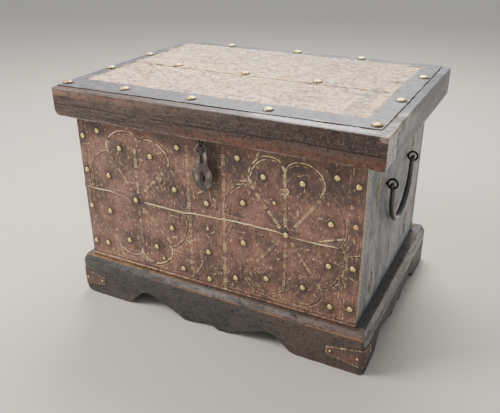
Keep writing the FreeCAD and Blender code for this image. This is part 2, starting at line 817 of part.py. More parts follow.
def make_front_studs():
    """The domed studs of the front, in two rosettes, two edge columns and a middle column."""
    half = size("body_width / 2")
    tall = size("wall_tall") / 2
    middle = size("base_tall") + tall
    face = size("body_front")
    on_lap = size("body_front - leather_thick")
    shift = -size("panel_shift")
    rosette = half * 0.55
    out = -NORTH
    big = ("front_stud_radius", "front_stud_tall")
    studs = []
    for sign, table in ((-1, LEFT_ROSETTE_SHARES), (1, RIGHT_ROSETTE_SHARES)):
        for across, up in table:
            seat = face if up else on_lap
            spot = Vector(shift + sign * rosette + across * rosette, seat, middle + up * tall)
            studs.append((spot, out, *big))
    for share in EDGE_COLUMN_SHARES:
        for sign in (-1, 1):
            spot = Vector(sign * half * 0.96, face, middle + share * tall)
            studs.append((spot, out, *big))
    for share in MIDDLE_COLUMN_SHARES:
        studs.append((Vector(shift, face, middle + share * tall), out, *big))
    for across, up in SMALL_STUD_SHARES:
        spot = Vector(shift + across * half, face, middle + up * tall)
        studs.append((spot, out, "small_stud_radius", "small_stud_tall"))
    return stud_group("front_studs", studs)


def make_lid_studs():
    """The large domed studs that hold the straps and the lap of the lid's leather."""
    half = size("lid_width / 2")
    deep = size("lid_depth / 2")
    on_strap = size("chest_tall + strap_thick")
    on_lap = size("chest_tall + 2 * leather_thick")
    front_y = size("field_front - front_strap_wide * 0.68")
    back_y = size("lid_back - rail_arris - lid_stud_radius")
    left_x = size("-lid_width / 2 + left_strap_wide * 0.6")
    right_x = size("strap_east - right_strap_wide * 0.34")
    lap_y = size("lid_lap_wide / 2 - lid_lap_shift")
    spots = [Vector(share * half, front_y, on_strap) for share in FRONT_ROW_SHARES]
    spots += [Vector(share * half, back_y, on_strap) for share in BACK_ROW_SHARES]
    spots += [Vector(share * half, lap_y, on_lap) for share in MIDDLE_ROW_SHARES]
    spots += [Vector(left_x, share * deep, on_strap) for share in LEFT_COLUMN_SHARES]
    spots += [Vector(right_x, share * deep, on_strap) for share in RIGHT_COLUMN_SHARES]
    spots.append(Vector(right_x, front_y, on_strap))
    return stud_group("lid_studs", [(spot, UP, "lid_stud_radius", "lid_stud_tall") for spot in spots])


def corner_strap(label, sign, leg):
    """A leather strap bent round a front corner of the plinth, narrower towards its ends."""
    body = new_body(label)
    outer = "plinth_round + leather_thick"
    plan = draw_outline(body, "XY_Plane", [
        (f"{-sign} * {leg}", "0"),
        (f"{-sign} * plinth_round", "0", "plinth_round", sign),
        ("0", "plinth_round"),
        ("0", "strap_side_leg"),
        (f"{sign} * leather_thick", "strap_side_leg"),
        (f"{sign} * leather_thick", "plinth_round", outer, -sign),
        (f"{-sign} * plinth_round", "-leather_thick"),
        (f"{-sign} * {leg}", "-leather_thick"),
    ])
    pad(body, plan, "strap_tall")
    taper = "(strap_tall - strap_tip_tall) / 2"
    for plane, root, tip in (
        ("XZ_Plane", f"{-sign} * plinth_round", f"{-sign} * ({leg} + overrun)"),
        ("YZ_Plane", "plinth_round", "strap_side_leg + overrun"),
    ):
        below = [(root, "0"), (root, "-overrun"), (tip, "-overrun"), (tip, taper)]
        above = [
            (root, "strap_tall"),
            (root, "strap_tall + overrun"),
            (tip, "strap_tall + overrun"),
            (tip, f"strap_tall - {taper}"),
        ]
        for wedge in (below, above):
            cut(body, draw_outline(body, plane, wedge), f"2 * {leg}", both_ways=True)
    return place(body, f"{sign} * plinth_width / 2", "plinth_face", "strap_foot")


def make_corner_straps():
    """The two corner straps and the small tacks that hold them."""
    legs = {-1: "left_strap_leg", 1: "right_strap_leg"}
    straps = [
        corner_strap("corner_strap_left", -1, legs[-1]),
        corner_strap("corner_strap_right", 1, legs[1]),
    ]
    face_y = size("plinth_face - leather_thick")
    face_x = size("plinth_width / 2 + leather_thick")
    middle = size("strap_foot + strap_tall / 2")
    root = size("plinth_width / 2 - plinth_round - tack_radius")
    side = size("plinth_face + strap_side_leg - strap_tip_tall / 2")
    tack = ("tack_radius", "tack_tall")
    tacks = []
    for sign in (-1, 1):
        tip = size(f"plinth_width / 2 - {legs[sign]} + strap_tip_tall / 2")
        tacks.append((Vector(sign * tip, face_y, middle), -NORTH, *tack))
        tacks.append((Vector(sign * root, face_y, middle), -NORTH, *tack))
        tacks.append((Vector(sign * face_x, side, middle), EAST * sign, *tack))
    return straps + [stud_group("corner_strap_tacks", tacks)]


def bent_rod(label, across, points):
    """A rod with flat sides, forged along straight runs between points, mitred where it turns."""
    route = Part.makePolygon(points)
    section = flats(across, ROD_SIDES)
    section.Placement = Placement(points[0], Rotation(UP, points[1] - points[0]))
    made = doc.addObject("Part::Feature", label)
    made.Label = label
    made.Shape = route.makePipeShell([section], True, False, MITRED)
    return made


# How a pipe shell turns a sharp corner: with a mitre.
MITRED = 1
# How many straight runs a half turn of a staple's rod is forged in.
STAPLE_RUNS = 6


def staple(label, rod, half, leg, x, y, z, turned):
    """A U of rod: half a ring towards local +Y with two legs from its ends towards local -Y."""
    step = math.pi / STAPLE_RUNS
    bend = size(half) / math.cos(step / 2)
    turns = [step * (index + 0.5) for index in range(STAPLE_RUNS)]
    bent = [Vector(bend * math.cos(turn), bend * math.sin(turn), 0) for turn in turns]
    low = -size(leg)
    made = bent_rod(label, size(rod), [Vector(size(half), low, 0)] + bent + [Vector(-size(half), low, 0)])
    made.Placement = Placement(Vector(), turned)
    for side, text in zip("xyz", (x, y, z)):
        made.setExpression(f"Placement.Base.{side}", bound(text))
    return made


def make_hasp():
    """The hasp, the staple in the lid that it hangs on, and the staple on the chest for a lock."""
    loop_height = "(hasp_height - lobe_margin / 2 - hasp_play - hasp_rod / 2 + hasp_loop)"
    hung = staple("hasp_staple", "hasp_rod", "hasp_loop", f"lid_bottom - {loop_height} + staple_bite",
                  "-hasp_place", "hasp_line_y", loop_height, Rotation(NORTH, -UP, -EAST, "XYZ"))
    caught = staple("front_staple", "staple_rod", "staple_half",
                    "staple_reach - staple_half - staple_rod / 2 + leather_thick + staple_bite",
                    "-hasp_place", "body_front - staple_reach + staple_half + staple_rod / 2",
                    "staple_height", Rotation(UP, -NORTH, EAST, "XYZ"))
    body = new_body("hasp")
    eye_drop = "(eyelet_radius + lobe_margin / 2)"
    lobe = "(eyelet_radius + lobe_margin)"
    flare_end = "(hasp_neck_drop + hasp_flare)"
    outline = draw_outline(body, "XZ_Plane", [
        (lobe, f"-{eye_drop}", lobe, 1),
        ("0", f"{lobe} - {eye_drop}", lobe, 1),
        (f"-{lobe}", f"-{eye_drop}"),
        (f"-{lobe}", "-hasp_neck_drop", "hasp_leaf_round / 2", -1),
        ("-hasp_leaf_half", f"-{flare_end}", "hasp_leaf_round", 1),
        ("0", "-hasp_long", "hasp_leaf_round", 1),
        ("hasp_leaf_half", f"-{flare_end}", "hasp_leaf_round / 2", -1),
        (lobe, "-hasp_neck_drop"),
    ])
    pad(body, outline, "hasp_thick", both_ways=True)
    eyelet = draw_circles(body, "XZ_Plane", [("0", f"-{eye_drop}")], "eyelet_radius")
    cut(body, eyelet, "2 * hasp_thick", both_ways=True)
    slot = draw_outline(body, "XZ_Plane", [
        ("-key_slot_wide / 2", f"-{eye_drop}"),
        ("-key_slot_wide / 2", "-key_slot_drop", "key_slot_wide / 2", 1),
        ("0", "-key_slot_drop - key_slot_wide / 2", "key_slot_wide / 2", 1),
        ("key_slot_wide / 2", "-key_slot_drop"),
        ("key_slot_wide / 2", f"-{eye_drop}"),
    ])
    cut(body, slot, "2 * hasp_thick", both_ways=True)
    almond = draw_outline(body, "XZ_Plane", [
        ("0", "-almond_drop - almond_tall / 2", "almond_round", 1),
        ("0", "-almond_drop + almond_tall / 2", "almond_round", 1),
    ])
    cut(body, almond, "2 * hasp_thick", both_ways=True)
    return [hung, caught, place(body, "-hasp_place", "hasp_line_y", "hasp_height")]


# How many straight runs an eye's ring is forged in, if it went all the way round.
EYE_RUNS = 12


def handle_eye(label, sign, y):
    """A split eye: a ring outside, a shank through the side, and two tails clenched inside."""
    step = 2 * math.pi / EYE_RUNS
    bend = size("eye_ring") / math.cos(step / 2)
    turns = [math.pi - step * (index + 0.5) for index in range(EYE_RUNS)]
    bent = [Vector(bend * math.cos(turn), 0, bend * math.sin(turn)) for turn in turns]
    ring = bent_rod(label + "_ring", size("eye_wire"), bent)
    shank_long = "(eye_x - eye_ring - core_width / 2 + wall_thick + eye_tail_thick)"
    shank = block(label + "_shank", f"{shank_long} + eye_wire / 2", "eye_shank", "eye_shank",
                  f"-eye_ring - {shank_long}", "-eye_shank / 2", "-eye_shank / 2")
    tails = block(label + "_tails", "eye_tail_thick", "eye_shank", "2 * eye_tail",
                  f"-eye_ring - {shank_long}", "-eye_shank / 2", "-eye_tail")
    made = doc.addObject("Part::MultiFuse", label)
    made.Label = label
    made.Shapes = [ring, shank, tails]
    return place(made, f"{sign} * eye_x", y, "eye_height", 0 if sign > 0 else 180)


# How many stations the curved part of a bail is forged at.
BAIL_STATIONS = 13


def make_bail(label, sign):
    """A forged bail: its tips turn out through the eyes and it swells towards the middle."""
    arm = size("bail_arm")
    bend = size("bail_bend")
    straight = size("bail_straight")
    reach = size("eye_spread / 2 + eye_wire / 2 + bail_tip_long")
    slant = bend * (1 - math.sqrt(0.5))
    bow = [math.pi * index / (BAIL_STATIONS - 1) for index in range(BAIL_STATIONS)]
    tip_side = [
        (Vector(0, -reach, 0), NORTH),
        (Vector(0, -arm - bend, 0), NORTH),
        (Vector(0, -arm - slant, -slant), NORTH - UP),
        (Vector(0, -arm, -bend), -UP),
    ]
    route = tip_side + [
        (Vector(0, -arm * math.cos(turn), -straight - arm * math.sin(turn)),
         Vector(0, math.sin(turn), -math.cos(turn)))
        for turn in bow
    ] + [(Vector(0, -spot.y, spot.z), Vector(0, way.y, -way.z)) for spot, way in reversed(tip_side)]
    sections = []
    for spot, way in route:
        swell_share = max(0, -spot.z - bend) / (straight + arm - bend)
        across = size("bail_tip") + size("bail_middle - bail_tip") * swell_share
        section = flats(across, ROD_SIDES, on_corner=True)
        section.Placement = Placement(spot, Rotation(EAST, way.cross(EAST), way, "ZXY"))
        sections.append(section)
    made = doc.addObject("Part::Feature", label)
    made.Label = label
    made.Shape = Part.makeLoft(sections, True, True)
    return place(made, f"{sign} * eye_x", "-eye_place", "bail_height")


def make_handles():
    pieces = []
    for side, sign in (("right", 1), ("left", -1)):
        pieces.append(handle_eye(f"handle_eye_{side}_front", sign, "-eye_place - eye_spread / 2"))
        pieces.append(handle_eye(f"handle_eye_{side}_back", sign, "-eye_place + eye_spread / 2"))
        pieces.append(make_bail(f"bail_{side}", sign))
    return pieces


def knuckles(body, spans):
    """Rolled knuckles from x = low to high about local x, bored for the pin."""
    for low, high in spans:
        ring = draw_circles(body, "YZ_Plane", [("0", "0")], "knuckle_radius", lift=low)
        pad(body, ring, f"({high}) - ({low})")
    bore = draw_circles(body, "YZ_Plane", [("0", "0")], "pin_radius + pin_play")
    cut(body, bore, "leaf_wide + 2 * overrun", both_ways=True)


def make_hinge(side, sign):
    """One hinge: a long leaf on the back board, a short leaf under the lid's back rail, a pin."""
    gap_edge = "(knuckle_half + knuckle_gap / 2)"
    clear = "(knuckle_radius + 2 * knuckle_gap)"
    fixed = new_body(f"hinge_body_leaf_{side}")
    plate = draw_outline(fixed, "XZ_Plane", [
        ("-leaf_wide / 2", "0"),
        ("-leaf_wide / 2", "-body_leaf_long + leaf_round", "leaf_round", 1),
        ("-leaf_wide / 2 + leaf_round", "-body_leaf_long"),
        ("leaf_wide / 2 - leaf_round", "-body_leaf_long", "leaf_round", 1),
        ("leaf_wide / 2", "-body_leaf_long + leaf_round"),
        ("leaf_wide / 2", "0"),
        (gap_edge, "0"),
        (gap_edge, f"-{clear}"),
        (f"-{gap_edge}", f"-{clear}"),
        (f"-{gap_edge}", "0"),
    ], lift="leaf_out - leaf_thick")
    pad(fixed, plate, "leaf_thick")
    knuckles(fixed, [("-leaf_wide / 2", f"-{gap_edge}"), (gap_edge, "leaf_wide / 2")])
    moving = new_body(f"hinge_lid_leaf_{side}")
    inner_edge = "(knuckle_half - knuckle_gap / 2)"
    plate = draw_outline(moving, "XY_Plane", [
        (f"-{inner_edge}", "0"),
        (inner_edge, "0"),
        (inner_edge, clear),
        ("leaf_wide / 2", clear),
        ("leaf_wide / 2", "lid_leaf_long"),
        ("-leaf_wide / 2", "lid_leaf_long"),
        ("-leaf_wide / 2", clear),
        (f"-{inner_edge}", clear),
    ], lift="leaf_out - leaf_thick")
    pad(moving, plate, "leaf_thick")
    knuckles(moving, [(f"-{inner_edge}", inner_edge)])
    pin = new_body(f"hinge_pin_{side}")
    pad(pin, draw_circles(pin, "YZ_Plane", [("0", "0")], "pin_radius"), "leaf_wide + 2 * knuckle_gap",
        both_ways=True)
    head = [
        (f"pin_head_radius * cos({turn} deg)", f"pin_head_radius * sin({turn} deg)")
        for turn in range(0, 360, 60)
    ]
    pad(pin, draw_outline(pin, "YZ_Plane", head, lift="leaf_wide / 2 + knuckle_gap"), "pin_head_thick")
    pad(pin, draw_outline(pin, "YZ_Plane", head, lift="-leaf_wide / 2 - knuckle_gap"), "pin_head_thick",
        reverse=True)
    return [place(piece, f"{sign} * hinge_place", "hinge_y", "hinge_z") for piece in (fixed, moving, pin)]


def make_hinges():
    """Two hinges and the nails through their leaves."""
    pieces = make_hinge("right", 1) + make_hinge("left", -1)
    on_board = size("board_back + leaf_thick")
    under_lid = size("lid_bottom - leaf_thick")
    axis_z = size("hinge_z")
    side_step = size("leaf_wide / 4")
    nail = ("nail_radius", "nail_tall")
    body_nails = []
    lid_nails = []
    for sign in (-1, 1):
        x = sign * size("hinge_place")
        for share in (0.5, 0.68, 0.88):
            body_nails.append((Vector(x, on_board, axis_z - share * size("body_leaf_long")), NORTH, *nail))
        for step in (-side_step, side_step):
            y = size("hinge_y + lid_leaf_long * 0.6")
            lid_nails.append((Vector(x + step, y, under_lid), -UP, *nail))
    return pieces + [stud_group("hinge_nails_body", body_nails), stud_group("hinge_nails_lid", lid_nails)]


PIECES = (
    make_aprons() + make_base_moulding() + make_carcase() + make_lid_frame() + make_lid_cover()
    + [make_front_studs(), make_lid_studs()] + make_corner_straps() + make_hasp() + make_handles()
    + make_hinges()
)
doc.recompute()

for item in doc.Objects:
    if "Invalid" in item.State or "Error" in item.State:
        raise RuntimeError(f"{item.Label} failed: {item.State}")
os.makedirs("parts", exist_ok=True)
for piece in PIECES:
    shape = piece.Shape
    if shape.isNull() or not shape.isValid() or not shape.Solids:
        raise RuntimeError(f"{piece.Label} has no valid solid")
    shape.exportStep(f"parts/{piece.Label}.step")
print(f"{len(PIECES)} pieces written")
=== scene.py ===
"""The dowry chest, dressed: a timber carcase faced with tooled leather and domed studs, on a
scalloped plinth, with a framed lid, an iron hasp and a bail handle on each side. Metres."""
import math

import bmesh
import bpy
import numpy as np
from mathutils import Matrix, Vector, noise


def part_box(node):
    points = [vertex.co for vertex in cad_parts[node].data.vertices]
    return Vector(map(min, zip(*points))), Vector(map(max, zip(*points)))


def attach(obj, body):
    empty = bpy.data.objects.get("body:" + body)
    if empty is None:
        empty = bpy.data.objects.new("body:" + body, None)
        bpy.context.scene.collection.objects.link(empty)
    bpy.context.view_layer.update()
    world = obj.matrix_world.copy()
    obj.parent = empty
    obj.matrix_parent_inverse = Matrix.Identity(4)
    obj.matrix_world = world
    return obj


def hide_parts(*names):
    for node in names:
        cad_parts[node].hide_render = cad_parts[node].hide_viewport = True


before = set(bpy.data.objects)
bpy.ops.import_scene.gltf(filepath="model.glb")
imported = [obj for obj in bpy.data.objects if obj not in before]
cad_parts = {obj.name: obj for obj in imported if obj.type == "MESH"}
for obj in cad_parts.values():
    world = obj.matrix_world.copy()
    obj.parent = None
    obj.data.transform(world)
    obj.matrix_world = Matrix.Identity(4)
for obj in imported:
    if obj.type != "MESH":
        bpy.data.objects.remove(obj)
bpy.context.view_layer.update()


# The view: a little above the lid and to the right of the front.
view = bpy.data.objects.new("view", bpy.data.cameras.new("view"))
view.data.sensor_width = 36
view.data.lens = 44.01
VIEW_PLACE = (0.5691, -1.1614, 0.8242)
VIEW_TURN, VIEW_TILT, VIEW_ROLL = (math.radians(angle) for angle in (27.185, 63.691, -0.487))
view.matrix_world = (
    Matrix.Translation(VIEW_PLACE)
    @ Matrix.Rotation(VIEW_TURN, 4, "Z")
    @ Matrix.Rotation(VIEW_TILT, 4, "X")
    @ Matrix.Rotation(VIEW_ROLL, 4, "Z")
)
bpy.context.scene.collection.objects.link(view)
bpy.context.scene.camera = view


# The studio: a plain pale floor, a large soft light on the left, another high at the back, and pale
# surroundings. None of it is part of the chest.
def new_finish(name, **sockets):
    """A material with one Principled shader, whose plain values are set on its own sockets."""
    finish = bpy.data.materials.new(name)
    finish.use_nodes = True
    shader = finish.node_tree.nodes["Principled BSDF"]
    for key, value in sockets.items():
        shader.inputs[key.replace("_", " ")].default_value = value
    return finish, finish.node_tree, shader


def as_piece(bm, name, finish):
    """An object at the origin from a bmesh that is already in place."""
    mesh = bpy.data.meshes.new(name)
    bm.to_mesh(mesh)
    bm.free()
    mesh.materials.append(finish)
    piece = bpy.data.objects.new(name, mesh)
    bpy.context.scene.collection.objects.link(piece)
    return piece


FLOOR_REACH = 6
FLOOR_COLOUR = (0.62, 0.57, 0.50, 1)
floor_mesh = bmesh.new()
bmesh.ops.create_grid(floor_mesh, x_segments=1, y_segments=1, size=FLOOR_REACH)
floor_finish = new_finish("pale_floor", Base_Color=FLOOR_COLOUR, Roughness=0.55)[0]
as_piece(floor_mesh, "floor", floor_finish)


def soft_light(name, place, aim, size, power, colour):
    """A square area light that looks at its aim."""
    lamp = bpy.data.lights.new(name, "AREA")
    lamp.shape = "SQUARE"
    lamp.size = size
    lamp.energy = power
    lamp.color = colour
    holder = bpy.data.objects.new(name, lamp)
    look = (Vector(aim) - Vector(place)).to_track_quat("-Z", "Y").to_matrix().to_4x4()
    holder.matrix_world = Matrix.Translation(place) @ look
    bpy.context.scene.collection.objects.link(holder)


soft_light("key", (-2.0, -1.3, 2.1), (0, 0, 0.2), 1.3, 95, (1, 0.97, 0.93))
soft_light("high_back", (-0.45, 1.3, 2.1), (0, -0.1, 0.45), 1.5, 91, (1, 0.965, 0.93))
surroundings = bpy.data.worlds.new("pale_surroundings")
surroundings.use_nodes = True
for key, value in (("Color", (0.86, 0.89, 0.93, 1)), ("Strength", 0.62)):
    surroundings.node_tree.nodes["Background"].inputs[key].default_value = value
bpy.context.scene.world = surroundings


# The plinth's four scalloped aprons: old dark timber with rounded, chewed arrises. They are
# nailed together with mitred corners.
def feed(socket, value):
    """Link an output to an input, or set the input to a plain value."""
    if isinstance(value, bpy.types.NodeSocket):
        socket.id_data.links.new(value, socket)
    else:
        socket.default_value = value


def add(tree, kind, feeds=None, **settings):
    """A shader node. Its settings are properties, and its feeds go to inputs by name or number."""
    node = tree.nodes.new("ShaderNode" + kind)
    for name, value in settings.items():
        setattr(node, name, value)
    for key, value in (feeds or {}).items():
        feed(node.inputs[key], value)
    return node


def blend_of(share, first, second):
    """A colour between two, by a share of 0 to 1."""
    node = add(share.id_data, "Mix", {"Factor": share}, data_type="RGBA")
    for label, colour in (("A", first), ("B", second)):
        target = next(item for item in node.inputs if item.name == label and item.type == "RGBA")
        feed(target, colour if isinstance(colour, bpy.types.NodeSocket) else (*colour, 1))
    return next(item for item in node.outputs if item.type == "RGBA")


def worked(kind, first, second=0.0):
    """One or two values put through the sum that is named."""
    return add(first.id_data, "Math", {0: first, 1: second}, operation=kind).outputs[0]


def times(*values):
    """The product of two or more values, the first of them an output."""
    product = values[0]
    for value in values[1:]:
        product = worked("MULTIPLY", product, value)
    return product


def stepped(value, low, high, to_low=0.0, to_high=1.0):
    """A value taken smoothly from one span to another, and held at its ends."""
    feeds = {"Value": value, "From Min": low, "From Max": high, "To Min": to_low, "To Max": to_high}
    return add(value.id_data, "MapRange", feeds, interpolation_type="SMOOTHSTEP").outputs["Result"]


def cloudy(where, scale, detail=3.0, stretch=None, twist=0.0):
    """Noise from 0 to 1, stretched if asked."""
    tree = where.id_data
    if stretch:
        where = add(tree, "Mapping", {"Vector": where, "Scale": stretch}).outputs[0]
    return add(tree, "TexNoise", {"Vector": where, "Scale": scale, "Detail": detail,
                                  "Distortion": twist}).outputs["Fac"]


class Finish:
    """A material in the making. Its base colour is laid on in coats, each over the last where its
    share says, and it is closed by finished()."""

    def __init__(self, name, **sockets):
        self.material, self.tree, self.shader = new_finish(name, **sockets)
        self.where = add(self.tree, "TexCoord").outputs["Object"]

    def noted(self, name):
        """A value that the piece's mesh carries at its points."""
        return add(self.tree, "Attribute", attribute_name=name).outputs["Fac"]

    def clouds(self, scale, detail, low, high, to_low=0.0, to_high=1.0, **drawn):
        """Cloudy noise over the piece, taken smoothly from one span to another."""
        return stepped(cloudy(self.where, scale, detail, **drawn), low, high, to_low, to_high)

    def coat(self, share, colour, strength=1.0):
        """One more coat, laid on by a share and its strength."""
        share = share if strength == 1.0 else times(share, strength)
        self.colour = blend_of(share, self.colour, colour)

    def finished(self, rough, strength, distance, height):
        """The material, with its roughness and the strength, distance and height of its bumps."""
        bump = add(self.tree, "Bump", {"Strength": strength, "Distance": distance, "Height": height})
        for key, value in (("Base Color", self.colour), ("Roughness", rough), ("Normal", bump.outputs[0])):
            feed(self.shader.inputs[key], value)
        return self.material


# Timber's grain: soft bands, fine fibres and long open cracks, all drawn out along the board.
grain_group = bpy.data.node_groups.new("timber_grain", "ShaderNodeTree")
for label, kind, value in (("Stretch", "NodeSocketVector", (1.0, 1.0, 1.0)),
                           ("Crack", "NodeSocketFloat", 0.5)):
    grain_group.interface.new_socket(label, in_out="INPUT", socket_type=kind).default_value = value
for label in ("Bands", "Fibres", "Cracks"):
    grain_group.interface.new_socket(label, in_out="OUTPUT", socket_type="NodeSocketFloat")
given = grain_group.nodes.new("NodeGroupInput").outputs
result = grain_group.nodes.new("NodeGroupOutput").inputs
where = add(grain_group, "TexCoord").outputs["Object"]
drawn = add(grain_group, "VectorMath", {0: where, 1: given["Stretch"]}, operation="MULTIPLY").outputs[0]
feed(result["Bands"], cloudy(drawn, 1.3, 4.0, twist=0.6))
feed(result["Fibres"], cloudy(drawn, 9.0, 5.0))
off_line = worked("ABSOLUTE", worked("SUBTRACT", cloudy(drawn, 2.6, 3.0, twist=0.8), 0.5))
where_cracked = stepped(cloudy(where, 7.0, 2.0), 0.48, 0.6)
feed(result["Cracks"], times(stepped(off_line, 0.0, 0.016, 1.0, 0.0), where_cracked, given["Crack"]))

GRAIN_ALONG = {"x": (3.4, 34.0, 34.0), "y": (34.0, 3.4, 34.0), "x_worn": (11.0, 24.0, 24.0),
               "y_worn": (24.0, 11.0, 24.0)}
BLACK_CRACK = (0.008, 0.006, 0.005)
BARE_WOOD = (0.42, 0.37, 0.26)


def long_split(where, height, seed):
    """A long, wandering crack that follows the board at about one height, open here and there."""
    tree = where.id_data
    path = add(tree, "Mapping", {"Vector": where, "Location": (seed, 0, 0), "Scale": (1, 1, 0)}).outputs[0]
    wander = times(worked("SUBTRACT", cloudy(path, 3.2, 3.0), 0.5), 0.022)
    up = add(tree, "SeparateXYZ", {0: where}).outputs["Z"]
    off = worked("ABSOLUTE", worked("SUBTRACT", worked("SUBTRACT", up, height), wander))
    opened = stepped(cloudy(path, 8.0, 2.0), 0.34, 0.52)
    return times(stepped(off, 0.0003, 0.0013, 1.0, 0.0), opened)


def timber(name, way, colours, worn_colour, crack=0.6, rough=0.55, worn_at=0.62, bands=(), splits=(),
           bleach_and_sheen_colour=None, patches=()):
    """Old timber whose grain runs along an axis: dark, middle and light colours, and the colour of
    its worn arrises, where the mesh notes wear. A band is a low and high edge, a colour, a strength,
    the two places along X between which it comes in, and its softness. A split is a height and a
    seed, and a patch of bare yellow wood is a place and a reach."""
    made = Finish(name, Specular_IOR_Level=0.32)
    feeds = {"Stretch": GRAIN_ALONG[way], "Crack": crack}
    grain = add(made.tree, "Group", feeds, node_tree=grain_group).outputs
    dark, middle, light = colours
    fibres = stepped(grain["Fibres"], 0.35, 0.7)
    made.colour = blend_of(stepped(grain["Bands"], 0.34, 0.66), dark, middle)
    made.coat(fibres, light, 0.45)
    spot = add(made.tree, "SeparateXYZ", {0: made.where}).outputs
    patchy = made.clouds(1.0, 6.0, 0.30, 0.52, stretch=(34.0, 34.0, 150.0))
    for low, high, tint, strength, comes_in, soft in bands:
        inside = times(stepped(spot["Z"], low - soft, low + soft),
                       stepped(spot["Z"], high - soft, high + soft, 1.0, 0.0))
        ramp = stepped(spot["X"], *comes_in) if comes_in else 1.0
        made.coat(times(inside, patchy, strength, ramp), tint)
    made.coat(made.clouds(16.0, 4.0, 0.5, 0.72, 0.0, 0.6), dark)
    wear = worked("ADD", made.noted("wear"), times(cloudy(made.where, 55.0, 4.0), 0.55))
    made.coat(stepped(wear, worn_at + 0.4, worn_at + 0.62), worn_colour)
    # A pale coat where the mesh notes it: weathering, and on the rails' tops a painted sheen.
    if bleach_and_sheen_colour:
        bleach_and_sheen_share = worked("ADD", made.noted("bleach_and_sheen"), times(fibres, 0.3))
        made.coat(stepped(bleach_and_sheen_share, 0.35, 1.0), bleach_and_sheen_colour)
    for place, reach in patches:
        gone = add(made.tree, "VectorMath", {0: made.where, 1: place}, operation="DISTANCE").outputs["Value"]
        gone = worked("ADD", gone, times(cloudy(made.where, 90.0, 4.0), 1.6 * reach))
        made.coat(stepped(gone, 1.25 * reach, 1.7 * reach, 0.9, 0.0), BARE_WOOD)
    made.coat(made.clouds(150.0, 4.0, 0.34, 0.48, 1.0, 0.0, twist=0.4), BLACK_CRACK, 0.5)
    made.coat(made.clouds(230.0, 4.0, 0.52, 0.64), light, 0.55)
    for height, seed in splits:
        made.coat(long_split(made.where, height, seed), BLACK_CRACK)
    made.coat(grain["Cracks"], BLACK_CRACK)
    return made.finished(stepped(grain["Bands"], 0.3, 0.7, rough + 0.1, rough - 0.08), 0.55, 0.0012,
                         worked("SUBTRACT", times(fibres, 0.35), grain["Cracks"]))


def note(mesh, name, values):
    """Let a mesh carry a value at each of its points."""
    carried = mesh.attributes.get(name) or mesh.attributes.new(name, "FLOAT", "POINT")
    carried.data.foreach_set("value", np.asarray(values, np.float32))


def read_wear(mesh):
    """The wear that a mesh carries at its points."""
    wear = np.zeros(len(mesh.vertices), np.float32)
    mesh.attributes["wear"].data.foreach_get("value", wear)
    return wear


def points_of(shape):
    """The points of a mesh or a bmesh."""
    verts = shape.verts if isinstance(shape, bmesh.types.BMesh) else shape.vertices
    return np.array([vert.co for vert in verts])


def off_runs(points, runs):
    """How far each point is from the nearest of some straight runs."""
    nearest = np.full(len(points), 9.0)
    for start, end in runs:
        way = end - start
        share = np.clip((points - start) @ way / max(way @ way, 1e-12), 0, 1)
        nearest = np.minimum(nearest, np.linalg.norm(points - start - share[:, None] * way, axis=1))
    return nearest


def keep_wear_off(piece, height):
    """No wear near a height, where another piece covers the arris."""
    off = np.abs(points_of(piece.data)[:, 2] - height)
    note(piece.data, "wear", read_wear(piece.data) * np.clip(off / 0.006 - 0.6, 0, 1))


def merged_copy(node):
    """A CAD node's shape, whose loose triangles are joined."""
    bm = bmesh.new()
    bm.from_mesh(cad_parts[node].data)
    bmesh.ops.remove_doubles(bm, verts=bm.verts, dist=1e-5)
    return bm


def aged_copy(node, name, round_off, steps, finish, chew=0.0, segments=2, wear_wide=0.009):
    """A copy of a CAD node with its sharp arrises worn round, and its shape a little uneven. The
    steps say how finely it is divided along each axis."""
    bm = merged_copy(node)
    bmesh.ops.dissolve_limit(bm, angle_limit=math.radians(1.5), verts=bm.verts, edges=bm.edges)
    sharp = [edge for edge in bm.edges if edge.is_manifold and edge.calc_face_angle() > math.radians(28)]
    runs = [tuple(np.array(vert.co) for vert in edge.verts) for edge in sharp]
    bmesh.ops.bevel(bm, geom=sharp, offset=round_off, segments=segments, profile=0.5, affect="EDGES",
                    material=-1, clamp_overlap=True)
    bmesh.ops.triangulate(bm, faces=[face for face in bm.faces if len(face.verts) > 4])
    low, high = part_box(node)
    for axis, step in enumerate(steps):
        across = Vector([float(axis == other) for other in range(3)])
        for index in range(1, math.ceil((high[axis] - low[axis]) / step)):
            spot = Vector(low)
            spot[axis] += index * step
            bmesh.ops.bisect_plane(bm, geom=bm.verts[:] + bm.edges[:] + bm.faces[:], dist=1e-6,
                                   plane_co=spot, plane_no=across)
    bm.normal_update()
    points = points_of(bm)
    wear = np.clip(1 - off_runs(points, runs) / wear_wide, 0, 1) if runs else np.zeros(len(points))
    for vert, share in zip(bm.verts, wear):
        bite = max(0.0, noise.noise(vert.co * 45) + 0.15) * share + 0.25 * abs(noise.noise(vert.co * 14))
        vert.co -= vert.normal * chew * bite
    for face in bm.faces:
        face.smooth = True
    piece = as_piece(bm, name, finish)
    note(piece.data, "wear", wear)
    piece.data.set_sharp_from_angle(angle=math.radians(38))
    return piece


def along_or_across(side, along, aside, up):
    """Steps for a board that runs along X in front and at the back, and along Y at the sides."""
    return (along, aside, up) if side in ("front", "back") else (aside, along, up)


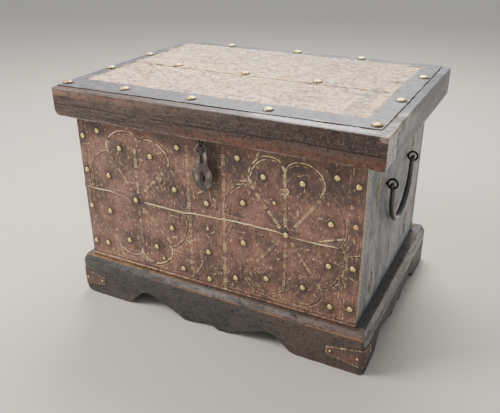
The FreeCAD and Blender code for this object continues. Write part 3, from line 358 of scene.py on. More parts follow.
PLINTH_COLOURS = ((0.038, 0.036, 0.034), (0.066, 0.060, 0.053), (0.115, 0.100, 0.088))
PLINTH_SIDE_COLOURS = ((0.050, 0.048, 0.047), (0.080, 0.077, 0.074), (0.13, 0.122, 0.115))
PLINTH_WORN = (0.12, 0.105, 0.09)
WARM_BAND = (-0.01, 0.070, (0.12, 0.075, 0.055), 0.55, (0.0, 0.33), 0.004)
plinth_along_x = timber("plinth_timber_x", "x_worn", PLINTH_COLOURS, PLINTH_WORN, crack=0.12, rough=0.6,
                        bands=[WARM_BAND])
plinth_along_y = timber("plinth_timber_y", "y_worn", PLINTH_SIDE_COLOURS, PLINTH_WORN, crack=0.12, rough=0.6)
for side, finish in (("front", plinth_along_x), ("back", plinth_along_x),
                     ("left", plinth_along_y), ("right", plinth_along_y)):
    apron = aged_copy(f"plinth_{side}", f"apron_{side}", 0.0022, along_or_across(side, 0.012, 0.02, 0.008),
                      finish, chew=0.0012)
    keep_wear_off(apron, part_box(f"plinth_{side}")[1].z)
    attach(apron, "chest")
    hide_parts(f"plinth_{side}")


# The moulding on the aprons: four mitred strips with a sloping nose, worn to a grey-violet band
# with an orange lower arris. The carcase stands on them.
MOULDING_COLOURS = ((0.040, 0.038, 0.036), (0.068, 0.062, 0.057), (0.125, 0.110, 0.098))
NOSE_FOOT, NOSE_TOP = 0.083, 0.097
FRONT_BANDS = [
    (NOSE_FOOT + 0.0022, NOSE_TOP - 0.002, (0.225, 0.188, 0.178), 0.92, (-0.30, 0.02), 0.0022),
    (0.060, NOSE_TOP - 0.001, (0.150, 0.082, 0.056), 0.6, (0.0, 0.30), 0.0016),
    (NOSE_TOP - 0.0008, NOSE_TOP + 0.01, (0.13, 0.080, 0.052), 0.9, None, 0.0008),
    (NOSE_TOP - 0.0016, NOSE_TOP + 0.01, (0.34, 0.18, 0.070), 0.9, (0.0, -0.28), 0.0010),
    (NOSE_FOOT - 0.0012, NOSE_FOOT + 0.0012, (0.40, 0.185, 0.080), 0.95, (-0.24, 0.10), 0.0009),
]
SIDE_BANDS = [
    (NOSE_FOOT + 0.001, NOSE_TOP - 0.001, (0.36, 0.335, 0.31), 0.85, None, 0.002),
    (0.062, NOSE_FOOT, (0.25, 0.238, 0.225), 0.9, None, 0.002),
]
moulding_along_x = timber("moulding_timber_x", "x_worn", MOULDING_COLOURS, (0.17, 0.13, 0.11), crack=0.5,
                          rough=0.48, worn_at=0.75, bands=FRONT_BANDS)
moulding_along_y = timber("moulding_timber_y", "y_worn", MOULDING_COLOURS, (0.24, 0.20, 0.16), crack=0.4,
                          rough=0.48, worn_at=0.75, bands=SIDE_BANDS)
for side, finish in (("front", moulding_along_x), ("back", moulding_along_x),
                     ("left", moulding_along_y), ("right", moulding_along_y)):
    strip = aged_copy(f"base_moulding_{side}", f"moulding_{side}", 0.0018,
                      along_or_across(side, 0.012, 0.005, 0.0035), finish, chew=0.0010, wear_wide=0.0045)
    keep_wear_off(strip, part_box(f"base_moulding_{side}")[0].z)
    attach(strip, "chest")
    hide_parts(f"base_moulding_{side}")


# The carcase: front, back, side and bottom boards of plain sawn timber, rebated and nailed. Only
# the back board shows from outside, and the rest when the lid is open.
CARCASE_COLOURS = ((0.075, 0.045, 0.028), (0.13, 0.082, 0.052), (0.21, 0.145, 0.098))
CARCASE_WORN = (0.25, 0.18, 0.12)
carcase_along_x = timber("carcase_timber_x", "x", CARCASE_COLOURS, CARCASE_WORN, crack=0.7, rough=0.6)
carcase_along_y = timber("carcase_timber_y", "y", CARCASE_COLOURS, CARCASE_WORN, crack=0.7, rough=0.6)
for place, finish in (("front", carcase_along_x), ("back", carcase_along_x), ("left", carcase_along_y),
                      ("right", carcase_along_y), ("bottom", carcase_along_x)):
    board = aged_copy(f"{place}_board", f"{place}_plank", 0.0012, (0.03, 0.03, 0.03), finish, chew=0.0005)
    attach(board, "chest")
    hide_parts(f"{place}_board")


# The front's two skins of tooled leather: the upper one laps the lower one in a seam through the
# rosettes' middles. Raised lines are rubbed to tan, and dirt has gathered round the studs.
def smooth_path(points, steps=5):
    """A curve through points, as closely spaced points."""
    ends = [2 * np.array(points[0], float) - points[1], *[np.array(p, float) for p in points],
            2 * np.array(points[-1], float) - points[-2]]
    path = []
    for a, b, c, d in zip(ends, ends[1:], ends[2:], ends[3:]):
        for share in np.arange(steps) / steps:
            path.append(0.5 * (2 * b + (c - a) * share + (2 * a - 5 * b + 4 * c - d) * share ** 2
                               + (3 * b - a - 3 * c + d) * share ** 3))
    return path + [ends[-2]]


def noise_at(*columns):
    """Noise at points that are given by their columns."""
    return np.array([noise.noise(Vector(spot)) for spot in np.broadcast(*columns)])


def peak(off, wide):
    """1 on a line and less beside it."""
    return np.exp(-(off / wide) ** 2)


class Tooling:
    """Marks tooled in a flat skin, gathered at the points of its grid. Lengths are in millimetres:
    across and up are the points' places, and marks add to what is raised, rubbed or dirty."""

    def __init__(self, across, up):
        self.across, self.up = across, up
        self.rubbed, self.raised, self.dirty = (np.zeros(len(across)) for _ in range(3))

    def off(self, path, reach):
        """For the points near a path: which they are, how far off it and how far along it."""
        path = np.array(path, float)
        low, high = path.min(0) - reach, path.max(0) + reach
        near = np.flatnonzero((self.across > low[0]) & (self.across < high[0])
                              & (self.up > low[1]) & (self.up < high[1]))
        spots = np.stack([self.across[near], self.up[near]], 1)
        off, along = np.full(len(near), 99.0), np.zeros(len(near))
        run = 0.0
        for start, end in zip(path, path[1:]):
            way = end - start
            length = max(np.linalg.norm(way), 1e-9)
            share = np.clip((spots - start) @ way / length ** 2, 0, 1)
            gone = np.linalg.norm(spots - start - share[:, None] * way, axis=1)
            closer = gone < off
            off[closer], along[closer] = gone[closer], run + share[closer] * length
            run += length
        return near, off, along

    def line(self, path, wide, rubbed, raised=0.45, bead=0.0, broken=0.35):
        """A raised line: beaded if asked, and more or less broken."""
        near, off, along = self.off(path, 3 * wide)
        shape = peak(off, wide)
        if bead:
            shape = shape * (0.64 + 0.36 * np.cos(along * 2 * np.pi / bead))
        if broken:
            drift = noise_at(along / 9, float(path[0][0]) * 0.37 + float(path[0][1]) * 0.11, 0)
            rubbed = rubbed * np.clip(1 + (drift - 0.25) * 3 * broken, 0, 1)
        self.rubbed[near] = np.maximum(self.rubbed[near], shape * rubbed)
        self.raised[near] = np.maximum(self.raised[near], shape * raised)

    def groove(self, path, wide, deep):
        """A pressed line, dark with dirt."""
        near, off, _ = self.off(path, 3 * wide)
        shape = peak(off, wide)
        self.raised[near] -= deep * shape
        self.dirty[near] = np.maximum(self.dirty[near], shape * min(1.0, deep * 1.3))

    def ladder(self, path, half, rung, rubbed):
        """Two thin rails with rungs between them."""
        near, off, along = self.off(path, half + 3)
        rungs = np.exp(-(off / half) ** 4) * (0.5 + 0.5 * np.cos(along * 2 * np.pi / rung)) ** 2
        kept = 0.75 + 1.5 * noise_at(along / 8, float(path[0][0]) * 0.21 + float(path[0][1]) * 0.13, 3)
        shape = np.maximum(peak(off - half, 0.9) * 0.55, rungs) * np.clip(kept, 0, 1.2)
        self.rubbed[near] = np.maximum(self.rubbed[near], shape * rubbed)
        self.raised[near] = np.maximum(self.raised[near], shape * 0.5)
        self.dirty[near] = np.maximum(self.dirty[near], peak(off - half - 2, 1.3) * 0.5)


def petal_edge(middle, cusps, tips, index, shrink=0.0):
    """One petal's rounded end, from a cusp to the next, as a path round the rosette's middle."""
    turn, low = cusps[index]
    next_turn, high = cusps[(index + 1) % len(cusps)]
    sweep = (next_turn - turn) % 360
    path = []
    for share in 0.5 - 0.5 * np.cos(np.linspace(0, np.pi, 22)):
        swell = (tips[index] - (low + high) / 2) * math.sqrt(max(0.0, 1 - (2 * share - 1) ** 2))
        shake = 1.8 * noise.noise(Vector((share * 5 + index * 5.1, middle[0] * 0.01, shrink * 0.04)))
        reach = low + (high - low) * share + swell - shrink + shake
        angle = math.radians(turn + sweep * share)
        path.append((middle[0] + reach * math.cos(angle), middle[1] + reach * math.sin(angle)))
    return path


# Each rosette: its middle, its cusps (a turn in degrees and a reach), its petals' reaches, and how
# strongly each petal's outer and inner line is rubbed. They were laid out by hand, so they differ.
ROSETTES = [
    ((-177, 265),
     [(0, 119), (47, 129), (84, 130), (122, 116), (178, 113), (233, 108), (271, 124), (310, 125)],
     [134, 155, 152, 130, 131, 147, 157, 136],
     [(0.35, 0.2), (0.8, 1.5), (1.5, 0.8), (0.75, 0.35), (0.3, 0.2), (0.8, 1.3), (0.9, 1.5), (0.5, 0.5)]),
    ((168, 265),
     [(2, 103), (55, 120), (92, 124), (130, 106), (180, 116), (229, 126), (268, 120), (306, 123)],
     [129, 154, 157, 139, 143, 157, 158, 130],
     [(0.5, 0.35), (1.2, 0.9), (1.3, 1.2), (0.6, 0.45), (0.5, 0.3), (0.8, 0.6), (0.6, 0.4), (0.5, 0.3)]),
]
# The rosettes' spokes, as ladders from their middles outwards, and how strongly each is rubbed.
SPOKES = [
    ([(-172, 284), (-171, 386)], 0.95), ([(-173, 246), (-171, 146)], 0.7), ([(-161, 284), (-98, 347)], 0.9),
    ([(-190, 288), (-212, 322), (-238, 352)], 0.8), ([(-192, 246), (-240, 178)], 0.25),
    ([(-160, 246), (-97, 182)], 0.75), ([(166, 284), (163, 386)], 1.0), ([(167, 246), (165, 145)], 0.8),
    ([(181, 279), (238, 357)], 0.95), ([(154, 279), (96, 349)], 1.0), ([(152, 246), (106, 190)], 0.75),
    ([(181, 248), (243, 162)], 0.9),
]
# Where the seam's cut edge runs: across, and how far above its mean height.
SEAM = [(-320, 5), (-290, 4.5), (-248, 6), (-222, 3), (-200, -2), (-160, -3), (-110, -4), (-60, -6),
        (-40, -2), (20, 0), (50, 2), (100, 2), (150, 1), (180, -4), (230, -5), (255, -4), (320, -2)]
# Single tooled strokes, each a short path and how strongly it is rubbed.
STROKES = [
    ([(-158, 380), (-147, 386)], 0.8), ([(-121, 389), (-113, 381), (-105, 385)], 0.8),
    ([(-119, 337), (-112, 330), (-110, 314)], 0.7), ([(-160, 361), (-152, 358)], 0.6),
    ([(-157, 337), (-149, 334)], 0.6), ([(-232, 351), (-212, 346), (-204, 338)], 0.7),
    ([(-212, 318), (-200, 311)], 0.8), ([(-214, 299), (-188, 303), (-165, 303)], 0.45),
    ([(-243, 299), (-216, 297)], 0.4), ([(-201, 252), (-194, 245)], 0.7),
    ([(-92, 195), (-82, 198), (-70, 191), (-60, 198), (-44, 190)], 0.8),
    ([(-50, 205), (-42, 212), (-36, 204), (-47, 198)], 0.75), ([(-131, 216), (-127, 213)], 0.7),
    ([(-151, 230), (-141, 226)], 0.4), ([(-97, 236), (-95, 245), (-87, 248), (-79, 244)], 0.45),
    ([(-53, 151), (-48, 143)], 0.8), ([(-89, 143), (-85, 138)], 0.7), ([(-121, 143), (-117, 139)], 0.9),
    ([(-22, 165), (-19, 155), (-27, 138), (-36, 124), (-41, 117)], 0.6),
    ([(-100, 170), (-90, 165), (-74, 163)], 0.6), ([(-50, 131), (-42, 125), (-47, 108)], 0.55),
    ([(-24, 312), (-8, 321)], 0.8), ([(72, 358), (87, 359)], 0.8), ([(64, 349), (84, 351)], 0.7),
    ([(148, 355), (158, 357)], 0.8), ([(151, 343), (160, 348)], 0.8),
    ([(163, 376), (166, 364), (171, 354), (168, 349)], 0.8), ([(189, 388), (200, 393), (213, 394)], 0.6),
    ([(113, 176), (108, 168), (114, 164)], 0.6), ([(140, 328), (143, 326)], 0.7),
    ([(118, 310), (129, 312)], 0.6), ([(97, 327), (100, 325)], 0.6), ([(107, 326), (110, 324)], 0.6),
    ([(236, 268), (250, 273), (265, 278), (280, 282)], 0.95), ([(289, 250), (300, 252), (313, 257)], 0.75),
    ([(297, 206), (311, 200)], 0.6), ([(300, 286), (303, 274)], 0.6), ([(14, 311), (15, 286)], 0.55),
    ([(3, 322), (6, 300)], 0.45), ([(20, 259), (15, 240), (5, 228), (-8, 222)], 0.55),
    ([(10, 180), (30, 177)], 0.5), ([(5, 129), (20, 141)], 0.5), ([(18, 137), (21, 126)], 0.5),
    ([(30, 152), (9, 146)], 0.5), ([(37, 123), (57, 122)], 0.45), ([(-178, 420), (-176, 408)], 0.6),
    ([(-245, 421), (-240, 412)], 0.6), ([(-232, 412), (-222, 402)], 0.5), ([(110, 421), (106, 410)], 0.9),
    ([(42, 205), (50, 198), (56, 192)], 0.5), ([(45, 240), (52, 262)], 0.4), ([(-66, 262), (-57, 247)], 0.55),
    ([(64, 243), (80, 248), (120, 252)], 0.35), ([(141, 245), (148, 238), (154, 241)], 0.5),
]
# Where dirt darkens the front, and in the first entry the hasp's painted shadow just right of it:
# middle, reach across and up, and strength.
DIRT_AND_SHADOW = [
    (21, 384, 8, 30, 0.95), (4, 345, 26, 22, 0.35), (-15, 412, 40, 12, 0.6),
    (-60, 412, 90, 20, 0.5), (60, 398, 42, 30, 0.75), (262, 402, 34, 28, 0.85), (180, 400, 90, 24, 0.7),
    (-282, 310, 14, 36, 0.5), (76, 142, 6, 26, 0.8), (-258, 188, 26, 16, 0.55), (128, 158, 24, 22, 0.45),
    (-215, 268, 80, 5, 0.55), (-90, 254, 60, 5, 0.4), (222, 258, 40, 5, 0.5), (-240, 408, 60, 16, 0.4),
    (-178, 256, 26, 26, 0.4), (-200, 350, 60, 30, 0.25), (300, 215, 16, 60, 0.35), (40, 190, 34, 14, 0.35),
    (-9, 350, 12, 16, 0.99), (-9, 386, 13, 26, 0.99), (-3, 408, 16, 14, 0.97), (262, 385, 60, 34, 0.72),
]


def stud_places(node):
    """Where each stud of a CAD node is: its middle on the skin, its outward way, radius and height."""
    bm = merged_copy(node)
    left, found = set(bm.verts), []
    while left:
        island, queue = set(), [next(iter(left))]
        while queue:
            vert = queue.pop()
            if vert not in island:
                island.add(vert)
                queue += [edge.other_vert(vert) for edge in vert.link_edges]
        left -= island
        spots = np.array([vert.co for vert in island])
        spans = spots.max(0) - spots.min(0)
        axis = int(np.argmin(spans))
        middle = (spots.max(0) + spots.min(0)) / 2
        rim, crown = [np.abs(spots[:, axis] - end) < 1e-4
                      for end in (spots[:, axis].min(), spots[:, axis].max())]
        reach = [np.linalg.norm(spots[rows] - spots[rows].mean(0), axis=1).max() for rows in (rim, crown)]
        sign = 1 if reach[0] > reach[1] else -1
        middle[axis] = spots[:, axis].min() if sign > 0 else spots[:, axis].max()
        found.append((Vector(middle), Vector([sign * float(axis == k) for k in range(3)]),
                      float(max(reach)), float(spans[axis])))
    bm.free()
    return sorted(found, key=lambda stud: tuple(round(v, 4) for v in stud[0]))


front_studs = stud_places("front_studs")


def tool_front(across, up):
    """The whole ornament of the front, on the points of one skin."""
    marks = Tooling(across, up)
    marks.line([(-294, 104), (-293, 424)], 1.0, 0.5, 0.3, broken=0.6)
    marks.line([(-303, 104), (-303, 424)], 1.2, 0.5, 0.3, bead=4.4, broken=0.6)
    marks.ladder([(-46, 104), (-45, 424)], 3.2, 4.6, 0.75)
    marks.ladder([(33, 104), (36, 424)], 3.2, 4.4, 0.9)
    marks.line([(42, 104), (44, 424)], 1.1, 0.5, 0.3, bead=5.0, broken=0.7)
    marks.line([(283, 104), (286, 424)], 1.2, 0.6, 0.3, broken=0.6)
    marks.line([(289, 104), (291, 424)], 1.5, 0.85, bead=4.6, broken=0.5)
    marks.line([(306, 104), (308, 424)], 1.6, 0.6, 0.3, bead=5.2, broken=0.7)
    for path, strength in SPOKES:
        marks.ladder(path, 2.5, 4.4, strength)
    for middle, cusps, tips, strengths in ROSETTES:
        for index, (outer, inner) in enumerate(strengths):
            marks.groove(petal_edge(middle, cusps, tips, index, 3.0), 1.5, 1.0)
            for shrink, strength in ((0.0, outer), (6.2, inner)):
                marks.line(petal_edge(middle, cusps, tips, index, shrink), 1.0, 0.28 + 1.05 * strength, 0.9,
                           bead=0.0 if strength > 1.0 else 4.2, broken=0.42)
            marks.groove(petal_edge(middle, cusps, tips, index, 10.0), 1.6, 0.35)
            marks.line(petal_edge(middle, cusps, tips, index, -5.0), 1.3, 0.45, 0.3, bead=4.5, broken=0.8)
    for path, strength in STROKES:
        path = smooth_path(path) if len(path) > 2 else path
        marks.groove([(x + 1.5, z - 2.6) for x, z in path], 1.4, 0.5)
        marks.line(path, 1.25, strength * 1.4, 0.7, broken=0.45)
    marks.line([(-313, 103.5), (-180, 103.0), (-60, 102.0)], 2.4, 0.62, broken=0.2)
    marks.line([(-60, 102.0), (313, 101.0)], 1.8, 0.5, broken=0.4)
    marks.groove([(-313, 108), (313, 105.5)], 1.6, 0.9)
    marks.line([(-313, 113), (-40, 110), (313, 109)], 1.2, 0.7, bead=4.6, broken=0.7)
    return marks


def scatter_flecks(marks, count, rng, low, high):
    """Small odd tool marks and scratches, mostly upright or level."""
    for _ in range(count):
        spot = rng.uniform(low, high)
        turn = rng.choice([0, 90, 90, 90, 45, -45]) + rng.normal(0, 14)
        long = rng.uniform(1.0, 6)
        way = (math.cos(math.radians(turn)) * long, math.sin(math.radians(turn)) * long)
        wide, rubbed = rng.uniform(0.7, 1.25), 0.9 * rng.uniform(0.25, 1.0) ** 1.6
        marks.line([spot, spot + way], wide, rubbed, 0.3, broken=0)


def tooled_leather():
    """Red-brown leather with an upright grain: rubbed to cream where it is raised, and darkened
    where dirt has gathered and where shade and shadow are painted."""
    made = Finish("tooled_leather", Specular_IOR_Level=0.42)
    made.colour = blend_of(made.clouds(19.0, 6.0, 0.38, 0.62), (0.118, 0.064, 0.057), (0.280, 0.136, 0.104))
    streak = made.clouds(1.0, 5.0, 0.48, 0.66, stretch=(260.0, 260.0, 120.0))
    made.coat(streak, (0.47, 0.305, 0.175), 0.42)
    pits = made.clouds(1.0, 5.0, 0.52, 0.66, stretch=(150.0, 150.0, 130.0), twist=0.3)
    made.coat(pits, (0.066, 0.043, 0.038), 0.42)
    made.coat(made.clouds(46.0, 5.0, 0.55, 0.72), (0.095, 0.072, 0.066), 0.5)
    fine = cloudy(made.where, 330.0, 3.0)
    rubbed = worked("ADD", made.noted("rubbed"), times(fine, 0.5))
    made.coat(stepped(rubbed, 0.42, 0.8), (0.60, 0.415, 0.225))
    made.coat(stepped(rubbed, 0.9, 1.35), (0.94, 0.75, 0.42))
    # The dark coat: dirt, and painted shade and shadow, where the mesh notes them.
    made.coat(times(made.noted("soot"), made.clouds(60.0, 4.0, 0.2, 0.6, 0.55, 1.0)), (0.042, 0.033, 0.033))
    return made.finished(made.clouds(30.0, 4.0, 0.3, 0.7, 0.40, 0.62), 0.6, 0.0009,
                         worked("ADD", times(fine, 0.6), worked("SUBTRACT", streak, pits)))


front_leather = tooled_leather()
SKIN_THICK = 0.0015
FRONT_SPACING = 0.00125
FRONT_FLECKS = 1150
LAP_WIDE, LAP_SLOPE = 0.012, 0.003
RAGGED_WIDE = 0.014
# How wide the cut edge gapes: places across in millimetres, and the strength there.
GAPES_AT = [-300, -285, -205, -196, -160, -150, 160, 186, 196, 262, 275]
GAPES = [0.3, 1.2, 1.1, 0.2, 0.2, 1.5, 1.6, 0.3, 1.3, 1.1, 0.2]
lower_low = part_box("front_leather_lower")[0]
upper_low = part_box("front_leather_upper")[0]


def skin_grid(west, east, low, high, spacing):
    """A grid in local X and Z, centred, whose outer face looks towards -Y, and where its points
    lie between the edges that are given."""
    wide, tall = east - west, high - low
    bm = bmesh.new()
    bmesh.ops.create_grid(bm, x_segments=max(1, round(wide / spacing)),
                          y_segments=max(1, round(tall / spacing)), size=0.5,
                          matrix=Matrix.Rotation(math.pi / 2, 4, "X") @ Matrix.Diagonal((wide, tall, 1, 1)))
    points = points_of(bm)
    return bm, points[:, 0] + (east + west) / 2, points[:, 2] + (low + high) / 2


def closed_skin(bm, name, finish, places, back, **notes):
    """A solid skin from a grid: its points go to their places, and its edge is turned back by its
    thickness and closed. A note is the values of the grid's points and that of the turned edge."""
    count = len(bm.verts)
    for vert, place in zip(bm.verts, places):
        vert.co = place
    rim = [edge for edge in bm.edges if edge.is_boundary]
    folded = bmesh.ops.extrude_edge_only(bm, edges=rim)["geom"]
    bmesh.ops.translate(bm, verts=[item for item in folded if isinstance(item, bmesh.types.BMVert)], vec=back)
    bmesh.ops.edgeloop_fill(bm, edges=[edge for edge in bm.edges if edge.is_boundary])
    bmesh.ops.recalc_face_normals(bm, faces=bm.faces)
    for face in bm.faces:
        face.smooth = len(face.verts) == 4
    skin = as_piece(bm, name, finish)
    turned = len(skin.data.vertices) - count
    for label, (values, at_edge) in notes.items():
        note(skin.data, label, np.concatenate([values, np.full(turned, at_edge)]))
    skin.data.set_sharp_from_angle(angle=math.radians(60))
    return skin


def inside_of(across, up, west, east, low, high):
    """How far points are inside a box's edges."""
    return np.minimum(np.minimum(across - west, east - across), np.minimum(up - low, high - up))


def blot(across, up, x, y, wide, tall):
    """1 at a place and less round it. The place and its reaches are in millimetres."""
    return np.exp(-((across * 1000 - x) / wide) ** 2 - ((up * 1000 - y) / tall) ** 2)


def seam_height(across):
    """How high the upper skin's cut edge is."""
    places, rises = zip(*SEAM)
    above = np.interp(across * 1000, places, rises) + 1.3 * noise_at(across * 60, 4.1, 0)
    return upper_low.z + 0.001 * above


def front_skin(name, node, upper):
    """One of the front's skins. The upper one stands out by its thickness where it lies over the
    lower one, and its cut edge wanders up and down by a few millimetres."""
    low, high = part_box(node)
    bm, across, up = skin_grid(low.x, high.x, low.z, high.z, FRONT_SPACING)
    face = np.full(len(up), lower_low.y)
    if upper:
        up = up + np.clip(1 - (up - low.z) / RAGGED_WIDE, 0, 1) * (seam_height(across) - low.z)
        face = face - SKIN_THICK * np.clip((low.z + LAP_WIDE + LAP_SLOPE - up) / LAP_SLOPE, 0, 1)
    marks = tool_front(across * 1000, up * 1000)
    scatter_flecks(marks, FRONT_FLECKS, np.random.default_rng(7), (-312, 100), (312, 424))
    if upper:
        cut = (up - seam_height(across)) * 1000
        gape = np.interp(across * 1000, GAPES_AT, GAPES) * (1 + 1.1 * noise_at(across * 30, 8.8, 0))
        marks.rubbed = np.maximum(marks.rubbed, peak(cut - 0.9, 1.35) * gape)
        marks.dirty = np.maximum(marks.dirty, 0.6 * peak(cut - 7, 2.2) * (across < -0.05))
    soot = np.zeros(len(across))
    for spot, _, radius, _ in front_studs:
        soot = np.maximum(soot, 0.78 * peak(np.hypot(across - spot.x, up - spot.z), radius * 3.1))
    for x, z, wide, tall, strength in DIRT_AND_SHADOW:
        soot = np.maximum(soot, strength * blot(across, up, x, z, wide, tall))
    # Painted shade: the skin grows a little darker towards its right end.
    soot = soot + (1 - soot) * 0.12 * np.clip((across - 0.05) / 0.15, 0, 1)
    # Painted shadow of the lid's overhang: a dark band along the skin's top edge.
    soot = np.maximum(soot, 0.75 * np.clip((up - 0.424) / 0.008, 0, 1))
    soot = np.maximum(soot, 0.85 * np.clip((lower_low.z + 0.0025 - up) / 0.001, 0, 1))
    soot = np.maximum(soot, marks.dirty * 0.8) * np.clip(1.15 - 0.8 * marks.rubbed, 0.1, 1)
    hills = noise_at(across * 20, 0.3, up * 20) * 0.5 + noise_at(across * 110, 5.3, up * 60) * 0.28
    fade = np.clip(inside_of(across, up, low.x, high.x, low.z, high.z) / 0.003, 0, 1)
    places = np.stack([across, face - (marks.raised + hills) * 0.001 * fade, up], 1)
    skin = closed_skin(bm, name, front_leather, places, (0, SKIN_THICK, 0),
                       rubbed=(marks.rubbed, 0.0), soot=(soot, 0.6))
    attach(skin, "chest")
    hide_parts(node)


front_skin("lower_skin", "front_leather_lower", False)
front_skin("upper_skin", "front_leather_upper", True)


# The studs: cast brass domes with a rough, dirty foot. Large ones hold the front's leather down, in
# two rosettes, and small ones fill in between.
def brass(name, colour, rough=0.34):
    """Brass with patches of tarnish, and dirt where the mesh notes its foot."""
    made = Finish(name, Metallic=0.6)
    made.colour = blend_of(made.clouds(240.0, 3.0, 0.5, 0.75, 0.0, 0.6), colour,
                           tuple(0.35 * part for part in colour))
    made.coat(stepped(made.noted("foot"), 0.25, 0.95), (0.05, 0.035, 0.018))
    return made.finished(made.clouds(120.0, 3.0, 0.3, 0.7, rough - 0.06, rough + 0.14), 0.3, 0.0004,
                         cloudy(made.where, 420.0, 2.0))


pale_brass = brass("pale_brass", (0.90, 0.69, 0.27))
copper_brass = brass("copper_brass", (0.72, 0.44, 0.20))


def domed(bm, place, way, radius, tall, turns=20, rings=6):
    """Add one stud: a dome that is squashed and a little uneven, closed underneath."""
    made = bmesh.ops.create_uvsphere(bm, u_segments=turns, v_segments=2 * rings, radius=1)["verts"]
    below = [vert for vert in made if vert.co.z < -1e-4]
    bmesh.ops.delete(bm, geom=below, context="VERTS")
    verts = [vert for vert in made if vert.is_valid]
    rim = {edge for vert in verts for edge in vert.link_edges if edge.is_boundary}
    bmesh.ops.edgeloop_fill(bm, edges=list(rim))
    to_place = Matrix.Translation(place) @ way.to_track_quat("Z", "X").to_matrix().to_4x4()
    heights = {}
    for vert in verts:
        heights[vert] = 1 - vert.co.z
        lump = 1 + 0.05 * noise.noise(vert.co * 1.3 + place * 90)
        local = Vector((vert.co.x * radius * lump, vert.co.y * radius * lump, vert.co.z ** 0.85 * tall))
        vert.co = to_place @ local
    return heights


def stud_piece(name, node, studs, body, finish, slot="brass", **shape):
    """Some of a CAD node's studs as one piece, which notes how near its foot each point is."""
    bm = bmesh.new()
    heights = {}
    for place, way, radius, tall in studs:
        heights.update(domed(bm, place, way, radius, tall, **shape))
    foot = [heights[vert] for vert in bm.verts]
    for face in bm.faces:
        face.smooth = len(face.verts) < 5
    bmesh.ops.recalc_face_normals(bm, faces=bm.faces)
    piece = as_piece(bm, name, finish)
    note(piece.data, "foot", foot)
    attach(piece, body)
    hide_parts(node)


east_column = [stud for stud in front_studs if stud[0].x > 0.29]
coppery = east_column[2:3]
stud_piece("front_domes", "front_studs", [stud for stud in front_studs if stud not in coppery], "chest",
           pale_brass)
stud_piece("front_domes_coppery", "front_studs", coppery, "chest", copper_brass)


# The straps round the plinth's front corners: short strips of the same tooled leather, bent round
# the corner and held by small tacks.
DOTS_APART = 0.0045
for side, fresh in (("left", 0.55), ("right", 1.0)):
    strap = aged_copy(f"corner_strap_{side}", f"corner_strap_skin_{side}", 0.0004, (0.002, 0.002, 0.002),
                      front_leather, segments=1, wear_wide=0.004)
    wear, spots = read_wear(strap.data), points_of(strap.data)
    fleck = noise_at(*(spots.T * 160))
    dots = 0.5 + 0.5 * np.cos(spots.sum(axis=1) * 2 * np.pi / DOTS_APART)
    rubbed = np.clip(wear * dots * (0.75 + fleck) + 0.2 * np.clip(fleck, 0, 1), 0, 1)
    note(strap.data, "rubbed", fresh * rubbed)
    note(strap.data, "soot", np.clip(0.72 - 0.12 * fresh - 1.2 * wear * dots, 0, 1))
    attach(strap, "chest")
    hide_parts(f"corner_strap_{side}")
stud_piece("corner_tacks", "corner_strap_tacks", stud_places("corner_strap_tacks"), "chest", pale_brass,
           turns=12, rings=4)


# The side skins: one sheet of plain dark leather on each side, its pale blue-grey colour a painted
# sheen, with a few tooled lozenges and a tan, frayed front edge.
def plain_leather(name, dark, light, scuff, rough, drawn=(1.0, 1.0, 1.0), wrinkle=0.35, grainy=0.5):
    """Smooth leather with cloudy colour, wrinkles, and scuffs where the mesh notes them. Its
    clouds are drawn out by the shares given."""
    made = Finish(name, Specular_IOR_Level=0.38)
    made.colour = blend_of(made.clouds(11.0, 5.0, 0.35, 0.65, stretch=drawn), dark, light)
    fine = cloudy(made.where, 300.0, 3.0)
    grain = cloudy(made.where, 95.0, 5.0, drawn, twist=0.4)
    made.coat(stepped(grain, 0.36, 0.50, grainy, 0.0), tuple(0.45 * part for part in dark))
    made.coat(stepped(grain, 0.52, 0.66, 0.0, grainy), tuple(1.5 * part for part in light))
    made.coat(stepped(worked("ADD", made.noted("rubbed"), times(fine, 0.5)), 0.45, 0.95), scuff)
    # Darkened where the mesh notes dirt, and on the lid's straps where a shadow is painted along their lower
    # edge.
    made.coat(made.noted("soot"), (0.012, 0.010, 0.009))
    return made.finished(made.clouds(26.0, 4.0, 0.3, 0.7, *rough), wrinkle, 0.0008,
                         worked("ADD", cloudy(made.where, 60.0, 4.0, twist=1.2), times(fine, 0.3)))


# Pale blue-grey: a painted sheen over dark leather.
side_leather = plain_leather("side_leather", (0.158, 0.161, 0.166), (0.325, 0.330, 0.338), (0.70, 0.54, 0.30),
                             (0.48, 0.70), drawn=(1.0, 1.9, 0.4))
SIDE_SPACING = 0.0014
SIDE_FLECKS = 90
